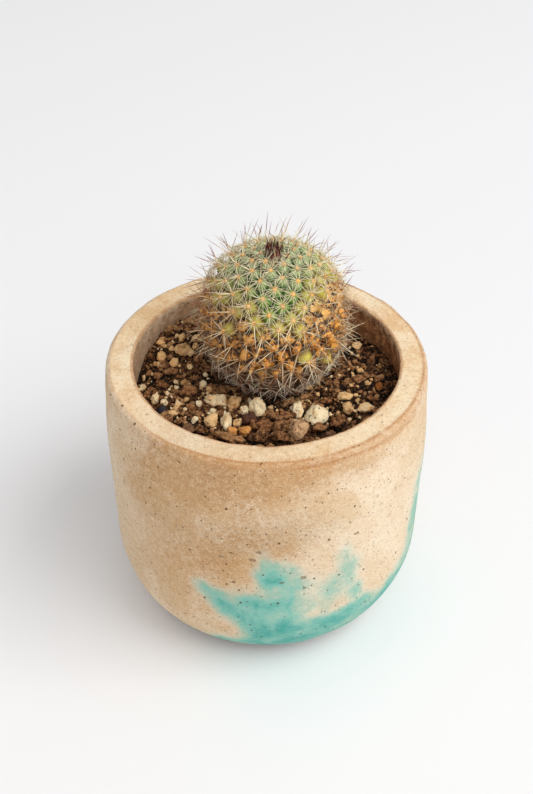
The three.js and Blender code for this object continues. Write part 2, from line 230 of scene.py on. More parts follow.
class Finish:
    # A new material, with a short call for each kind of node. Sizes are in millimetres, and colours are screen colours.

    def __init__(self, name, roughness=0.85, specular=0.3):
        self.material = bpy.data.materials.new(name)
        self.material.use_nodes = True
        self.tree = self.material.node_tree
        self.inputs = self.tree.nodes["Principled BSDF"].inputs
        self.inputs["Roughness"].default_value = roughness
        self.inputs["Specular IOR Level"].default_value = specular
        self.place = None

    def add(self, kind, inputs, **settings):
        made = self.tree.nodes.new(kind)
        for key, value in settings.items():
            setattr(made, key, value)
        for key, value in inputs.items():
            if isinstance(value, bpy.types.NodeSocket):
                self.tree.links.new(value, made.inputs[key])
            else:
                made.inputs[key].default_value = value
        return made.outputs

    def placeInMm(self):
        # Object coordinates, from the same two nodes for every pattern of the material.
        if self.place is None:
            self.place = self.vector("SCALE", {0: self.add("ShaderNodeTexCoord", {})["Object"], "Scale": 1 / mm})
        return self.place

    def vector(self, operation, inputs, output="Vector"):
        return self.add("ShaderNodeVectorMath", inputs, operation=operation)[output]

    def calc(self, operation, first, second):
        return self.add("ShaderNodeMath", {0: first, 1: second}, operation=operation)[0]

    def times(self, first, second):
        return self.calc("MULTIPLY", first, second)

    def plus(self, first, second):
        return self.calc("ADD", first, second)

    def fade(self, value, low, high, fromLow=0.0, fromHigh=1.0):
        # The value between low and high, mapped smoothly onto another range.
        inputs = {"Value": value, "From Min": low, "From Max": high, "To Min": fromLow, "To Max": fromHigh}
        return self.add("ShaderNodeMapRange", inputs, interpolation_type="SMOOTHSTEP")[0]

    def blend(self, factor, first, second, mode="MIX"):
        first, second = (colour(tint) if isinstance(tint, tuple) else tint for tint in (first, second))
        return self.add("ShaderNodeMix", {0: factor, 6: first, 7: second}, data_type="RGBA", blend_type=mode)[2]

    def grain(self, size, detail=2.0, roughness=0.5, distortion=0.0, place=None):
        # Noise with features of this size.
        inputs = {"Vector": place or self.placeInMm(), "Scale": 1 / size, "Detail": detail, "Roughness": roughness,
                  "Distortion": distortion}
        return self.add("ShaderNodeTexNoise", inputs)["Fac"]

    def cells(self, size):
        # Distance to the nearest of scattered points, and a random value for each.
        made = self.add("ShaderNodeTexVoronoi", {"Vector": self.placeInMm(), "Scale": 1 / size})
        return made["Distance"], self.add("ShaderNodeSeparateColor", {"Color": made["Color"]})[0]

    def traits(self, *names):
        return {name: self.add("ShaderNodeAttribute", {}, attribute_name=name)["Fac"] for name in names}

    def coats(self, under, drivers, rows):
        # Lays coats of colour over each other. A row gives its driver, then the values that it fades between and
        # its strength at both, or the share of the driver that counts, and last its colour, or the colour's name.
        for driver, *numbers, tint in rows:
            factor = drivers[driver]
            if len(numbers) == 1:
                factor = self.times(factor, numbers[0])
            elif numbers:
                factor = self.fade(factor, *numbers)
            under = self.blend(factor, under, drivers[tint] if isinstance(tint, str) else tint)
        return under

    def mix(self, drivers, recipes, *names):
        # Adds mixed colours to the drivers, each from its first colour and the coats over it.
        for name in names:
            first, rows = recipes[name]
            drivers[name] = self.coats(first, drivers, rows)

    def paint(self, skin, drivers, relief):
        # Ends the material with its colour, and with a height in millimetres for each driver of its relief.
        self.tree.links.new(skin, self.inputs["Base Color"])
        height = 0.0
        for driver, depth in relief.items():
            height = self.plus(height, self.times(drivers[driver], depth))
        if relief:
            bump = self.add("ShaderNodeBump", {"Height": height, "Strength": 1.0, "Distance": mm})
            self.tree.links.new(bump["Normal"], self.inputs["Normal"])
        return self.material


pot = {
    "columns": 384,
    "footRadius": 25, "roundTop": 28, "wallFoot": 46.1, "waist": 46.3, "waistHeight": 60, "narrowing": 1.7,
    "height": 85, "rimRadius": 45, "rimInner": 36.9, "outerLip": 1.8, "innerLip": 0.7,
    "innerWaist": 38.2, "innerFloorRadius": 18, "innerRoundTop": 36, "floor": 9, "drainRadius": 4,
    # Points along each part of the outline, from the foot out and up, over the rim, and down the bore.
    "steps": {"foot": 8, "bottom": 46, "wall": 75, "outerLip": 8, "rim": 12, "innerLip": 6, "bore": 36, "hollow": 8,
              "deck": 4, "drain": 4},
    # Noises, each with its size, depth and seed: how far the cast wall wanders, and how worn the rim is.
    "uneven": [(26, 0.22, 3), (9, 0.11, 4), (3.2, 0.0484, 5)],
    "inset": 0.12, "furthest": 0.25, "evenBelow": 7.0,
    "wornWaves": (5, 0.16, 6), "wornDents": (2.2, 0.10, 7), "lipChips": (1.7, 1.0, 9), "chipDepth": 0.3,
    # A groove under the front right of the rim, left by the mould, and the azimuths that it fades between.
    "groove": {"height": 82.4, "wander": (22, 1.0, 8), "width": 0.6, "depth": 0.4,
               "from": (272, 290), "to": (324, 336)},
    "lipInset": 0.35, "lipWidth": 0.4,  # of the brown line where the flat of the rim rounds over
    "wanderRound": 2.0, "wanderUp": 1.6,  # how far noise moves the washes and clouds
    # Turquoise washes: azimuth and height of the middle, reach both ways, and strength. Less than 0 wipes it off.
    "washes": [
        (-114, 37, 3, 3, 0.3), (-110, 35, 4, 3.4, 0.48), (-107, 33, 4, 4, 0.58), (-104, 30, 4.4, 4.4, 0.44),
        (-100, 27, 4, 5, 0.5), (-98, 33, 9, 7, 0.35), (-86, 30, 14, 9, 0.4), (-90, 46, 4, 3.5, 0.85),
        (-91, 52, 3, 4, 0.25), (-95, 47, 2, 2, 0.3), (-84, 48, 4.5, 4, 0.4), (-86, 42, 6, 4, 0.35),
        (-90, 33, 5, 3.5, 0.65), (-85, 35, 4, 3, 0.6), (-95, 31, 5, 4, 0.4), (-95, 24, 4, 4.5, 0.75),
        (-93, 20, 5, 5, 0.75), (-87, 23, 5, 4.5, 0.7), (-80, 21, 7, 6, 0.65), (-72, 21, 7, 6, 0.55),
        (-70, 38, 9, 7, 0.24), (-62, 35, 6, 6, 0.3), (-80, 37, 5, 6, 0.28), (-66, 21, 7, 4, 0.5), (-62, 23, 5, 3, 0.5),
        (-63, 50, 3.5, 4.5, 0.3), (-61, 42, 4.5, 6, 0.36), (-57, 30, 3, 3.5, 0.55), (-53, 22, 7, 4, 0.55),
        (-45, 19, 9, 6, 0.5), (-32, 20, 10, 9, 0.5), (-20, 38, 7, 16, 0.5), (0, 44, 15, 17, 0.7),
        (24, 34, 13, 12, 0.5), (-95, 9, 26, 5, 0.55), (-65, 8, 28, 8, 0.6), (-20, 12, 30, 9, 0.6),
        (12, 14, 18, 7, 0.35), (-86, 12, 22, 6, 0.5), (-106, 22, 6, 3.5, -0.9), (-113, 26, 5, 4, -0.8),
        (-74, 29, 2.5, 2, -0.5), (-46, 34, 7, 7, -0.7),
    ],
    # Brown clouds, chalky and pale places, in the same way. The pale places at azimuths -165 and -147 are painted light
    # along the left edge of the wall.
    "clouds": [
        (-118, 80, 15, 7, 0.8), (-100, 79, 15, 7, 0.9), (-83, 80, 13, 5, 0.62), (-66, 80, 13, 4, 0.18),
        (-125, 50, 34, 38, 0.42), (-96, 58, 26, 26, 0.4), (-88, 82, 44, 3, 0.62), (-135, 64, 12, 9, 0.5),
        (-106, 50, 10, 5, 0.8), (-96, 60, 8, 4, 0.4), (-86, 55, 8, 4, 0.4), (-114, 72, 8, 4, 0.6),
        (-130, 74, 8, 3, 0.6), (-122, 42, 8, 9, 0.35), (-52, 78, 10, 3, 0.28), (150, 50, 30, 12, 0.6),
        (80, 66, 30, 8, 0.5),
    ],
    "chalk": [(-90, 61, 15, 7, 1.0), (-104, 55, 7, 5, 0.7), (-72, 62, 9, 5, 0.5), (-120, 58, 10, 8, 0.5),
              (100, 40, 20, 9, 0.6)],
    "pale": [(-128, 86, 17, 6, 0.6), (-165, 50, 16, 28, 0.55), (-147, 52, 12, 28, 0.36), (-38, 48, 26, 26, 0.62),
             (-66, 50, 14, 10, 0.25), (60, 55, 30, 25, 0.5)],
    # Open pits: azimuth, height, half width and half height in millimetres.
    "pits": [
        (-94.7, 52, 0.7, 0.7), (-92.4, 54.9, 0.5, 0.5), (-101, 42.5, 0.4, 0.45), (-101.7, 54, 0.3, 0.35),
        (-105, 52, 0.4, 0.3), (-77.6, 44, 0.65, 0.7), (-58.8, 55.6, 0.5, 0.5), (-77, 39.6, 0.35, 0.4),
        (-51.4, 22.7, 0.6, 1.0), (-77.7, 23, 0.35, 0.45), (-84.8, 42.8, 0.4, 0.4), (-66.5, 76, 0.5, 0.3),
        (20, 50, 0.8, 0.5), (95, 30, 0.7, 0.7), (160, 62, 0.9, 0.5),
    ],
    "pitDeeper": 0.3, "roundedIn": 1.5,  # a pit is sunk a little, and sits further in on the rounded bottom
    # Pinholes: spacing, least and most radius, and the share of points that have one.
    "pinholes": [(1.3, 0.12, 0.26, 0.4), (3.4, 0.24, 0.42, 0.65)],
    # Coats from the bare sand outward, as Finish.coats reads them.
    "sand": (220, 191, 153),
    "coats": [
        ("broad", 0.36, 0.64, (235, 215, 187)), ("middle", 0.45, 0.66, 0.0, 0.36, (208, 166, 118)),
        ("drag", 0.52, 0.7, 0.0, 0.24, (196, 154, 112)), ("chalkDust", 0.15, 0.8, 0.0, 0.7, (232, 214, 186)),
        ("rim", 0.8, "rimSand"), ("pale", 0.75, (242, 227, 202)), ("cloudy", 0.0, 0.9, 0.0, 0.85, (193, 148, 98)),
        ("deepCloud", 0.3, 0.65, 0.0, 0.5, (162, 117, 78)), ("wornEdge", 0.85, (188, 128, 74)), ("boreBrowning", "inside"),
        ("flecks", (156, 112, 74)), ("fine", 0.54, 0.68, 0.0, 0.35, (252, 234, 204)),
        ("fine", 0.46, 0.32, 0.0, 0.35, (176, 132, 92)), ("wash", 0.0, 0.7, 0.0, 0.97, "turquoise"),
        # The last coat on the next line is painted shade, darkening the foot where the pot meets the floor.
        ("hole", 0.85, (84, 60, 42)), ("pit", 0.6, (132, 98, 68)), ("high", 6.2, 2.6, 0.0, 0.9, (82, 64, 48)),
    ],
    # Mixed colours that coats name: the first one, and the coats over it.
    "rimSand": ((255, 235, 200), [("rimTone", 0.4, 0.6, (231, 188, 134))]),
    "inside": ((208, 144, 88), [("middle", 0.36, 0.62, (138, 84, 46)), ("small", 0.56, 0.66, 0.0, 0.6, (66, 40, 24))]),
    "turquoise": ((204, 226, 216), [("wash", 0.1, 0.5, (134, 193, 178)), ("wash", 0.5, 1.1, (64, 165, 154))]),
    "relief": {"fine": 0.12, "middle": 0.3, "small": 0.16, "chalkDust": 0.14, "hole": -0.4, "pit": -0.45},
}


def arcPoints(centreR, centreZ, a, b, fromTurn, toTurn, steps):
    # Points on an ellipse round a centre, from one angle in quarter turns to another, the last left out.
    angle = (fromTurn + (toTurn - fromTurn) * np.arange(steps) / steps) * math.pi / 2
    return np.stack([centreR + a * np.cos(angle), centreZ + b * np.sin(angle)], -1)


def linePoints(start, end, steps):
    # Points at even shares of the way from start to end, the last left out.
    share = np.arange(steps)[:, None] / steps
    return np.array(start) * (1 - share) + np.array(end) * share


def potProfile(p):
    # The closed outline of the wall, from the drain hole out and up, over the rim, and down the bore.
    outer, inner, steps = p["outerLip"], p["innerLip"], p["steps"]
    lipTop, innerTop = p["height"] - outer, p["height"] - inner
    z = np.linspace(p["roundTop"], lipTop, steps["wall"] + 1)[:-1]
    bulge = p["wallFoot"] + (p["waist"] - p["wallFoot"]) * ease(z, p["roundTop"], p["waistHeight"])
    aboveWaist = np.clip((z - p["waistHeight"]) / (lipTop - p["waistHeight"]), 0, 1)
    narrowed = (p["waist"] - p["rimRadius"]) * aboveWaist ** p["narrowing"]
    floorWide, floorHigh = p["innerWaist"] - p["innerFloorRadius"], p["innerRoundTop"] - p["floor"]
    foot, drain = (p["footRadius"], 0), (p["drainRadius"], p["floor"])
    parts = {
        "foot": linePoints((p["drainRadius"], 0), foot, steps["foot"]),
        "bottom": arcPoints(foot[0], p["roundTop"], p["wallFoot"] - foot[0], p["roundTop"], -1, 0, steps["bottom"]),
        "wall": np.stack([bulge - narrowed, z], -1),
        "outerLip": arcPoints(p["rimRadius"] - outer, lipTop, outer, outer, 0, 1, steps["outerLip"]),
        "rim": linePoints((p["rimRadius"] - outer, p["height"]), (p["rimInner"] + inner, p["height"]), steps["rim"]),
        "innerLip": arcPoints(p["rimInner"] + inner, innerTop, inner, inner, 1, 2, steps["innerLip"]),
        "bore": linePoints((p["rimInner"], innerTop), (p["innerWaist"], p["innerRoundTop"]), steps["bore"]),
        "hollow": arcPoints(p["innerFloorRadius"], p["innerRoundTop"], floorWide, floorHigh, 0, -1, steps["hollow"]),
        "deck": linePoints((p["innerFloorRadius"], p["floor"]), drain, steps["deck"]),
        "drain": linePoints(drain, (p["drainRadius"], 0), steps["drain"]),
    }
    return np.concatenate(list(parts.values())), np.repeat(list(parts), [len(part) for part in parts.values()])


def laidOver(azimuth, height, spots):
    # Soft spots laid over each other like washes of paint: what each one leaves bare is multiplied.
    bare, kept = np.ones(azimuth.shape), np.ones(azimuth.shape)
    for atAzimuth, atHeight, reachRound, reachUp, strength in spots:
        off = (azimuth - atAzimuth + 180) % 360 - 180
        square = (off / reachRound) ** 2 + ((height - atHeight) / reachUp) ** 2
        cover = abs(strength) * np.exp(-0.7 * square ** 1.3)
        if strength > 0:
            bare = bare * (1 - cover)
        else:
            kept = kept * (1 - cover)
    return (1 - bare) * kept


def makePot(p):
    # The outline carried round the axis, then each point moved along its normal by slow noise.
    outline, part = potProfile(p)
    turn = angles(p["columns"])
    along = unit(np.roll(outline, -1, 0) - np.roll(outline, 1, 0))
    radial = np.stack([np.cos(turn), np.sin(turn), np.zeros_like(turn)], -1)
    up = np.array([0, 0, 1.0])
    points = outline[:, None, :1] * radial + outline[:, None, 1:] * up
    normal = along[:, None, 1:] * radial - along[:, None, :1] * up
    azimuth, height = np.degrees(turn), points[..., 2]

    def on(*names):
        return np.isin(part, names)[:, None]

    worn = waves(points, p["wornWaves"]) - np.abs(waves(points, p["wornDents"]))
    worn = worn * on("outerLip", "rim", "innerLip")
    worn = worn - p["chipDepth"] * ease(waves(points, p["lipChips"]), 0.2, 0.8) * on("innerLip")
    groove = p["groove"]
    grooved = hump(height - groove["height"] - waves(points * [1, 1, 0], groove["wander"]), groove["width"])
    grooved = grooved * ease(azimuth, *groove["from"]) * (1 - ease(azimuth, *groove["to"])) * on("wall", "outerLip")
    moved = worn + waves(points, *p["uneven"]) - p["inset"] - groove["depth"] * grooved
    moved = moved * ease(height, 0.0, p["evenBelow"]) * ~on("foot", "deck", "drain")
    shaped = points + normal * np.minimum(moved, p["furthest"])[..., None]
    lipStart = p["rimRadius"] - p["outerLip"] + p["lipInset"]
    lip = hump(np.hypot(points[..., 0], points[..., 1]) - lipStart, p["lipWidth"]) * on("outerLip", "rim")
    lip = (lip + 0.4 * on("outerLip")) * (0.55 + 0.45 * np.cos(turn + 0.6))  # plainest on the right of the front
    warp = [waves(points, (9, 1, seed), (3, 0.45, seed + 2)) for seed in (11, 12)]
    wandered = azimuth + p["wanderRound"] * warp[0], height + p["wanderUp"] * warp[1]
    outside = 1.0 * on("bottom", "wall", "outerLip")
    faces = [gridFaces(len(outline), p["columns"], wrapRows=True)]
    makePiece("pot_wall", shaped.reshape(-1, 3), faces, potMaterial(p), "pot", ["pot"],
              stain=laidOver(*wandered, p["washes"]) * outside, chalk=laidOver(*wandered, p["chalk"]) * outside,
              cloud=laidOver(*wandered, p["clouds"]) * (outside + 0.5 * on("rim")),
              pale=laidOver(*wandered, p["pale"]) * (outside + on("rim")),
              edge=np.clip(0.8 * on("innerLip") + 0.9 * grooved + lip, 0, 1), rim=on("rim") + 0.6 * on("innerLip"),
              # The bore is browner on its right side than on its left.
              bore=on("bore", "hollow", "deck", "drain") * (0.66 + 0.34 * np.cos(turn - 0.4)))


def pinholes(m, spacing, least, most, share):
    # Holes of random size at scattered points, for this share of the points, with a soft edge.
    distance, which = m.cells(spacing)
    size = m.fade(which, 1 - share, 1.0, least / spacing, most / spacing)
    hole = m.fade(m.calc("SUBTRACT", size, distance), 0.0, 0.07 / spacing)
    return m.times(hole, m.fade(which, 1 - share - 0.02, 1 - share + 0.02))


def openPits(m, p):
    # Each listed pit is a ball squashed to its width and height, and the noise breaks its edge.
    ragged = m.fade(m.grain(0.5, 2, 0.6), 0.3, 0.7, -0.3, 0.3)
    total = 0.0
    for azimuth, height, halfWidth, halfHeight in p["pits"]:
        radius = p["waist"] - (0 if height > p["roundTop"] else p["roundedIn"])
        turn, across = math.radians(azimuth), 1 / (halfWidth + p["pitDeeper"])
        off = m.vector("SUBTRACT", {0: m.placeInMm(), 1: (radius * math.cos(turn), radius * math.sin(turn), height)})
        off = m.vector("MULTIPLY", {0: off, 1: (across, across, 1 / halfHeight)})
        away = m.vector("LENGTH", {0: off}, "Value")
        total = m.calc("MAXIMUM", total, m.fade(m.plus(away, ragged), 1.0, 0.6))
    return total


def potMaterial(p):
    m = Finish("sandy stoneware", 0.86, 0.25)
    d = m.traits("stain", "chalk", "cloud", "pale", "edge", "rim", "bore")
    d["broad"], d["middle"] = m.grain(15, 4, 0.6, 0.4), m.grain(2.6, 5, 0.65)
    d["small"], d["fine"] = m.grain(0.9, 3, 0.65), m.grain(0.42, 2, 0.6)
    slanted = {"Vector": m.placeInMm(), "Rotation": (0.3, 0.75, 0.2), "Scale": (0.22, 1, 1)}
    stretched = m.add("ShaderNodeMapping", slanted)[0]
    d["drag"] = m.grain(1.1, 3, 0.6, place=stretched)
    d["chalkDust"] = m.times(d["chalk"], m.fade(d["small"], 0.42, 0.6))
    d["rimTone"] = m.plus(m.times(d["broad"], 0.75), m.times(d["small"], 0.25))
    d["cloudy"] = m.times(d["cloud"], m.fade(m.grain(1.5, 4, 0.7), 0.3, 0.65, 0.55, 1.1))
    d["deepCloud"] = m.times(d["cloudy"], d["broad"])
    d["wornEdge"] = m.times(d["edge"], m.fade(d["middle"], 0.3, 0.55, 0.35, 0.9))
    d["high"] = m.add("ShaderNodeSeparateXYZ", {0: m.placeInMm()})["Z"]
    # The bore is browner further down, away from the rim.
    browning = m.plus(m.fade(d["high"], 84.5, 79.5, -0.15, 0.5), m.fade(d["middle"], 0.3, 0.7, -0.3, 0.6))
    d["boreBrowning"] = m.times(d["bore"], m.fade(browning, 0.0, 0.5, 0.45, 1.0))
    d["flecks"] = m.times(m.fade(d["small"], 0.58, 0.68, 0.0, 0.55), m.fade(d["rim"], 0.0, 1.0, 1.0, 0.4))
    patchy = m.times(m.fade(m.grain(6, 4, 0.6, 0.3), 0.32, 0.68, 0.74, 1.2), m.fade(d["small"], 0.3, 0.7, 0.93, 1.07))
    d["wash"] = m.times(d["stain"], patchy)
    hole = m.calc("MAXIMUM", *(pinholes(m, *row) for row in p["pinholes"]))
    d["hole"] = m.times(hole, m.fade(d["rim"], 0.0, 1.0, 1.0, 0.35))
    d["pit"] = openPits(m, p)
    m.mix(d, p, "rimSand", "inside", "turquoise")
    return m.paint(m.coats(p["sand"], d, p["coats"]), d, p["relief"])


makePot(pot)

soil = {
    "level": 75, "columns": 360, "rings": 150, "radius": 37.5, "innermost": 0.006, "bottom": 60.0,
    # Heaps and hollows of the surface: place, width and height.
    "heaps": [(-24, 17, 9, 4), (31, -2, 9, 1.8), (-35, 2, 7, -2), (27, 25, 8, -1)],
    "lump": 0.8, "lumpSize": 3.4,
    "hollow": (2.6, 10, 4.5),  # round the foot of the cactus: depth, distance from its axis, and width
    # Painted light on top of each crumb and chip, and painted shade under it.
    "lighterOnTop": 0.1, "darkerBelow": 0.55,  # of each crumb and chip
    "tone": 0.06, "toneWaves": [(6, 0.3, 31), (1.6, 0.12, 32)],
    "dark": (18, 9, 4),
    "coats": [("mixed", 0.0, 0.4, (124, 82, 48)), ("mixed", 0.4, 0.72, (202, 148, 98)),
              ("mixed", 0.85, 1.15, (232, 190, 136)), ("fine", 0.55, 0.7, 0.0, 0.65, (206, 160, 112)),
              ("fine", 0.44, 0.3, 0.0, 0.8, (20, 12, 7))],
    "warmth": 0.4, "warmTint": (255, 214, 190),
    "relief": {"rough": 1.6, "fine": 0.5},
}

cactus = {
    "x": 2, "y": 4, "z": 96.3, "radius": 18.3, "crown": 18.2, "belly": 19.4,
    "fullness": 0.8,  # below 1 the globe is fuller below its girth than an ellipse
    "neckRadius": 9, "rootRadius": 4, "rootTip": 61, "rootLength": 2,
    "driedPeak": 0.7, "driedKnob": 1.1, "driedFurrow": 0.5, "wrinkle": 0.5, "wrinkleSize": 2.4, "knobWidth": 0.8,
    "tubercles": 280, "crowding": 1.2, "tubercleHeight": 2.4, "driedHeight": 1.75, "lowest": 79.2,
    "columns": 400, "rows": 216, "firstRow": 0.12, "outlineSteps": 25,
    "neckRows": [48.3, 48.6, 48.8, 48.9, 49.2, 49.5, 49.7, 49.9],
    # The edge between the green crown and the dried skin: azimuth and latitude.
    "edge": [(-170, 30), (-155, 29), (-130, 30), (-114, 28), (-101, 20), (-90, 16), (-78, 18), (-69, 24), (-56, 31),
             (-38, 38), (-17, 42), (20, 30), (60, 12), (100, 10), (140, 22)],
    # Tufts below the edge that stayed green: azimuth, latitude and reach in degrees.
    "greenPatches": [(-66, -13, 9), (-37, -24, 10), (-128, 12, 6), (150, -5, 9), (60, -20, 9)],
    # Coats as Finish.coats reads them: furrow to peak of green, young and yellow skin, and of dried skin. The darker
    # furrows are painted shade.
    "fresh": ((36, 60, 16), [("peak", 0.0, 0.3, (108, 150, 54)), ("peak", 0.3, 0.9, (182, 208, 86))]),
    "young": ((66, 90, 52), [("peak", 0.0, 0.6, (180, 204, 144))]),
    "yellow": ((130, 98, 30), [("peak", 0.0, 0.5, (214, 198, 80))]),
    "green": [("latitude", 42, 68, "young"), ("below", -22, -5, 0.0, 0.95, "yellow"),
              ("mottle", 0.5, 0.75, 0.0, 0.3, (74, 116, 52))],
    "ochre": ((72, 38, 14), [
        ("patch", 0.25, 0.6, (206, 126, 38)), ("patch", 0.6, 1.0, (246, 176, 66)),
        # The second coat on the next line is painted shade in the furrows of the dried skin.
        ("fine", 0.54, 0.7, 0.0, 0.4, (255, 214, 130)), ("peak", 0.26, 0.04, (44, 24, 12)),
        # The second coat on the next line is painted light on the upper dried skin.
        ("knob", 0.2, 0.9, 0.0, 0.6, (246, 178, 96)), ("paintedTopLight", (252, 204, 122)),
        ("latitude", -16, -34, 0.0, 0.92, (92, 66, 48)),
    ]),
    # The second skin coat is painted shade on the left side of the globe.
    "skin": [("dried", "ochre"), ("paintedShadeLeft", 0.32, (72, 48, 26))],
    "relief": {"mottle": 0.3, "fine": 0.08},
}


def soilMean(x, y):
    # The level plus one soft heap or hollow for each listed place.
    total = np.full(np.shape(x), float(soil["level"]))
    for atX, atY, width, height in soil["heaps"]:
        total = total + height * np.exp(-((x - atX) ** 2 + (y - atY) ** 2) / (2 * width * width))
    return total


def soilHeight(x, y):
    # The mean surface, rough lumps of four sizes, and a hollow round the foot of the cactus, deepest in front.
    flat = np.stack([x, y, np.zeros_like(x)], -1)
    away = np.hypot(x - cactus["x"], y - cactus["y"])
    depth, distance, width = soil["hollow"]
    hollow = depth * hump(away - distance, width) * (0.6 + 0.4 * ease(-y, -6, 8))
    return soilMean(x, y) + soil["lump"] * roughNoise(flat, soil["lumpSize"], 4, 21, 0.6) - hollow


def paintedSoilShade(x, y):
    # Painted shade on the soil: darker towards the back and the right of the pot, where the wall's shade falls, and a
    # painted shadow of the cactus close by its left.
    return 0.24 * ease(x, 4, 30) + 0.12 * ease(y, 2, 30) + 0.5 * hump(x + 15, 4.5) * hump(y - 0.5, 5)


def soilMaterial(name, s, roughness=0.95):
    m = Finish(name, roughness, 0.25)
    d = m.traits("tone", "warm")
    d["rough"], d["fine"] = m.grain(1.0, 5, 0.75), m.grain(0.4, 3, 0.7)
    d["mixed"] = m.plus(d["tone"], m.fade(d["rough"], 0.32, 0.68, -0.36, 0.5))
    earth = m.coats(s["dark"], d, s["coats"])
    return m.paint(m.blend(m.times(d["warm"], s["warmth"]), earth, s["warmTint"], "MULTIPLY"), d, s["relief"])


def makeSoilBed(s):
    # A disc of rings whose height is the soil's, with a short skirt down along the bore and a flat underside.
    share = np.linspace(s["innermost"], 1, s["rings"])
    turn = angles(s["columns"])
    radius = share[:, None] * s["radius"]
    x, y = radius * np.cos(turn), radius * np.sin(turn)
    top = np.stack([x, y, soilHeight(x, y)], -1)
    skirt = np.stack([x[-1], y[-1], np.full(s["columns"], s["bottom"])], -1)
    middle = [[0, 0, soilHeight(np.zeros(1), np.zeros(1))[0]], [0, 0, s["bottom"]]]
    points = np.concatenate([top.reshape(-1, 3), skirt, middle])
    # The soil's tone takes off the painted shade of the wall and the painted shadow of the cactus.
    makePiece("soil_bed", points, closedFaces(s["rings"] + 1, s["columns"]), soilMaterial("damp peat", s), "soil",
              ["soil"], tone=s["tone"] + waves(points, *s["toneWaves"]) - paintedSoilShade(points[:, 0], points[:, 1]),
              warm=0.5 + 0.5 * smoothNoise(points, 8, 33))


def ballGrid(rows, columns):
    # Directions on a ball: rows of latitude, then the two poles.
    latitude = (np.arange(rows) + 1) / (rows + 1) * math.pi - math.pi / 2
    longitude = angles(columns)
    across = np.cos(latitude)[:, None]
    upward = np.sin(latitude)[:, None] * np.ones(columns)
    grid = np.stack([across * np.cos(longitude), across * np.sin(longitude), upward], -1)
    return np.concatenate([grid.reshape(-1, 3), [[0, 0, -1.0], [0, 0, 1.0]]])


def turnAbout(axis, angle):
    # Rodrigues' formula: the axis kept, and the rest turned by the angle.
    axis = np.broadcast_to(axis, (len(angle), 3))
    cross = np.zeros((len(angle), 3, 3))
    cross[:, 0, 1], cross[:, 0, 2], cross[:, 1, 2] = -axis[:, 2], axis[:, 1], -axis[:, 0]
    cross[:, 1, 0], cross[:, 2, 0], cross[:, 2, 1] = axis[:, 2], -axis[:, 1], axis[:, 0]
    sine, cosine = np.sin(angle)[:, None, None], np.cos(angle)[:, None, None]
    return np.eye(3) + sine * cross + (1 - cosine) * cross @ cross


def randomTurns(random, count, tilt):
    # One rotation matrix each: a turn about the vertical, then a tilt of at most this much about a level axis.
    spin, lean, about = (random.uniform(0, most, count) for most in (fullTurn, tilt, fullTurn))
    level = np.stack([np.cos(about), np.sin(about), np.zeros(count)], -1)
    return turnAbout(level, lean) @ turnAbout([0, 0, 1.0], spin)


chip = {"facets": 8, "bluntness": 0.35, "noiseSize": 0.9, "octaves": 4, "noiseSeed": 41, "gain": 0.62, "apart": 50}


def chipShapes(random, count, directions, sharpness, rough, shallow):
    # Each chip is a ball cut by random planes: its reach in a direction is a soft minimum over the planes,
    # then noise of its own pushes it in and out. The result spans about -1 to 1 each way.
    normals = unit(random.normal(size=(count, chip["facets"], 3)))
    depth = random.uniform(shallow, 1.0, (count, 1, chip["facets"]))
    facing = np.maximum(np.einsum("vk,cfk->cvf", directions, normals), 0) / depth
    reach = (np.sum(facing ** sharpness, -1) + chip["bluntness"]) ** (-1 / sharpness)
    own = directions[None] + random.uniform(-chip["apart"], chip["apart"], (count, 1, 3))
    noise = roughNoise(own, chip["noiseSize"], chip["octaves"], chip["noiseSeed"], chip["gain"])
    return directions[None] * (reach * (1 + rough * noise))[..., None]


def scatterPlaces(random, size, inner, outer, taken):
    # Even random places on a ring round the axis, and whether each is clear of the stones and the larger bark.
    radius = np.sqrt(random.uniform(inner ** 2, outer ** 2, len(size)))
    turn = random.uniform(0, fullTurn, len(size))
    x, y = radius * np.cos(turn), radius * np.sin(turn)
    free = np.ones(len(size), bool)
    for atX, atY, clear in taken:
        free &= np.hypot(x - atX, y - atY) > clear + 0.42 * size
    return x, y, free


def seatedOn(shapes, x, y, rise):
    # Moves each shape to its place, its middle this far above the soil.
    return shapes + np.stack([x, y, soilHeight(x, y) + rise], -1)[:, None, :]


def shadedTone(tone, height, low, high):
    # The tone of each chip, with painted light making it a little lighter on top and painted shade making its underside
    # much darker.
    return tone[:, None] + soil["lighterOnTop"] - soil["darkerBelow"] * (1 - ease(height, low, high))


def makeCrumbs(name, c, material, slot, taken):
    # Chips of one kind at random places, short ones more often, each turned and leaning a little.
    kind = c[name]
    random = np.random.default_rng(kind["seed"])
    least, most = kind["length"]
    length = least + (most - least) * random.uniform(0, 1, kind["count"]) ** 2
    x, y, free = scatterPlaces(random, length, *c["ring"], taken)
    x, y, length = x[free], y[free], length[free]
    number = len(x)
    length = np.minimum(length, np.clip((c["wall"] - np.hypot(x, y)) * 2, c["shortest"], None))
    shares = [np.ones(number), random.uniform(*kind["width"], number), random.uniform(*kind["thickness"], number)]
    shapes = chipShapes(random, number, ballGrid(*kind["ball"]), kind["sharpness"], kind["rough"], c["shallow"])
    shapes = shapes * (length[:, None] / 2 * np.stack(shares, -1))[:, None, :]
    turned = np.einsum("cij,cvj->cvi", randomTurns(random, number, c["lean"]), shapes)
    points = seatedOn(turned, x, y, length * random.uniform(*kind["rise"], number))
    # Each crumb's tone takes off the painted shade of the wall and the painted shadow of the cactus.
    tone = random.uniform(*kind["tone"], number) - paintedSoilShade(x, y)
    makePiece(name, points, closedFaces(*kind["ball"]), material, slot, smooth=kind["smooth"],
              tone=shadedTone(tone, turned[..., 2] / length[:, None], -0.16, 0.1),
              warm=random.uniform(0, 1, number), shade=random.uniform(0, 0.5, number), dust=c["dust"])


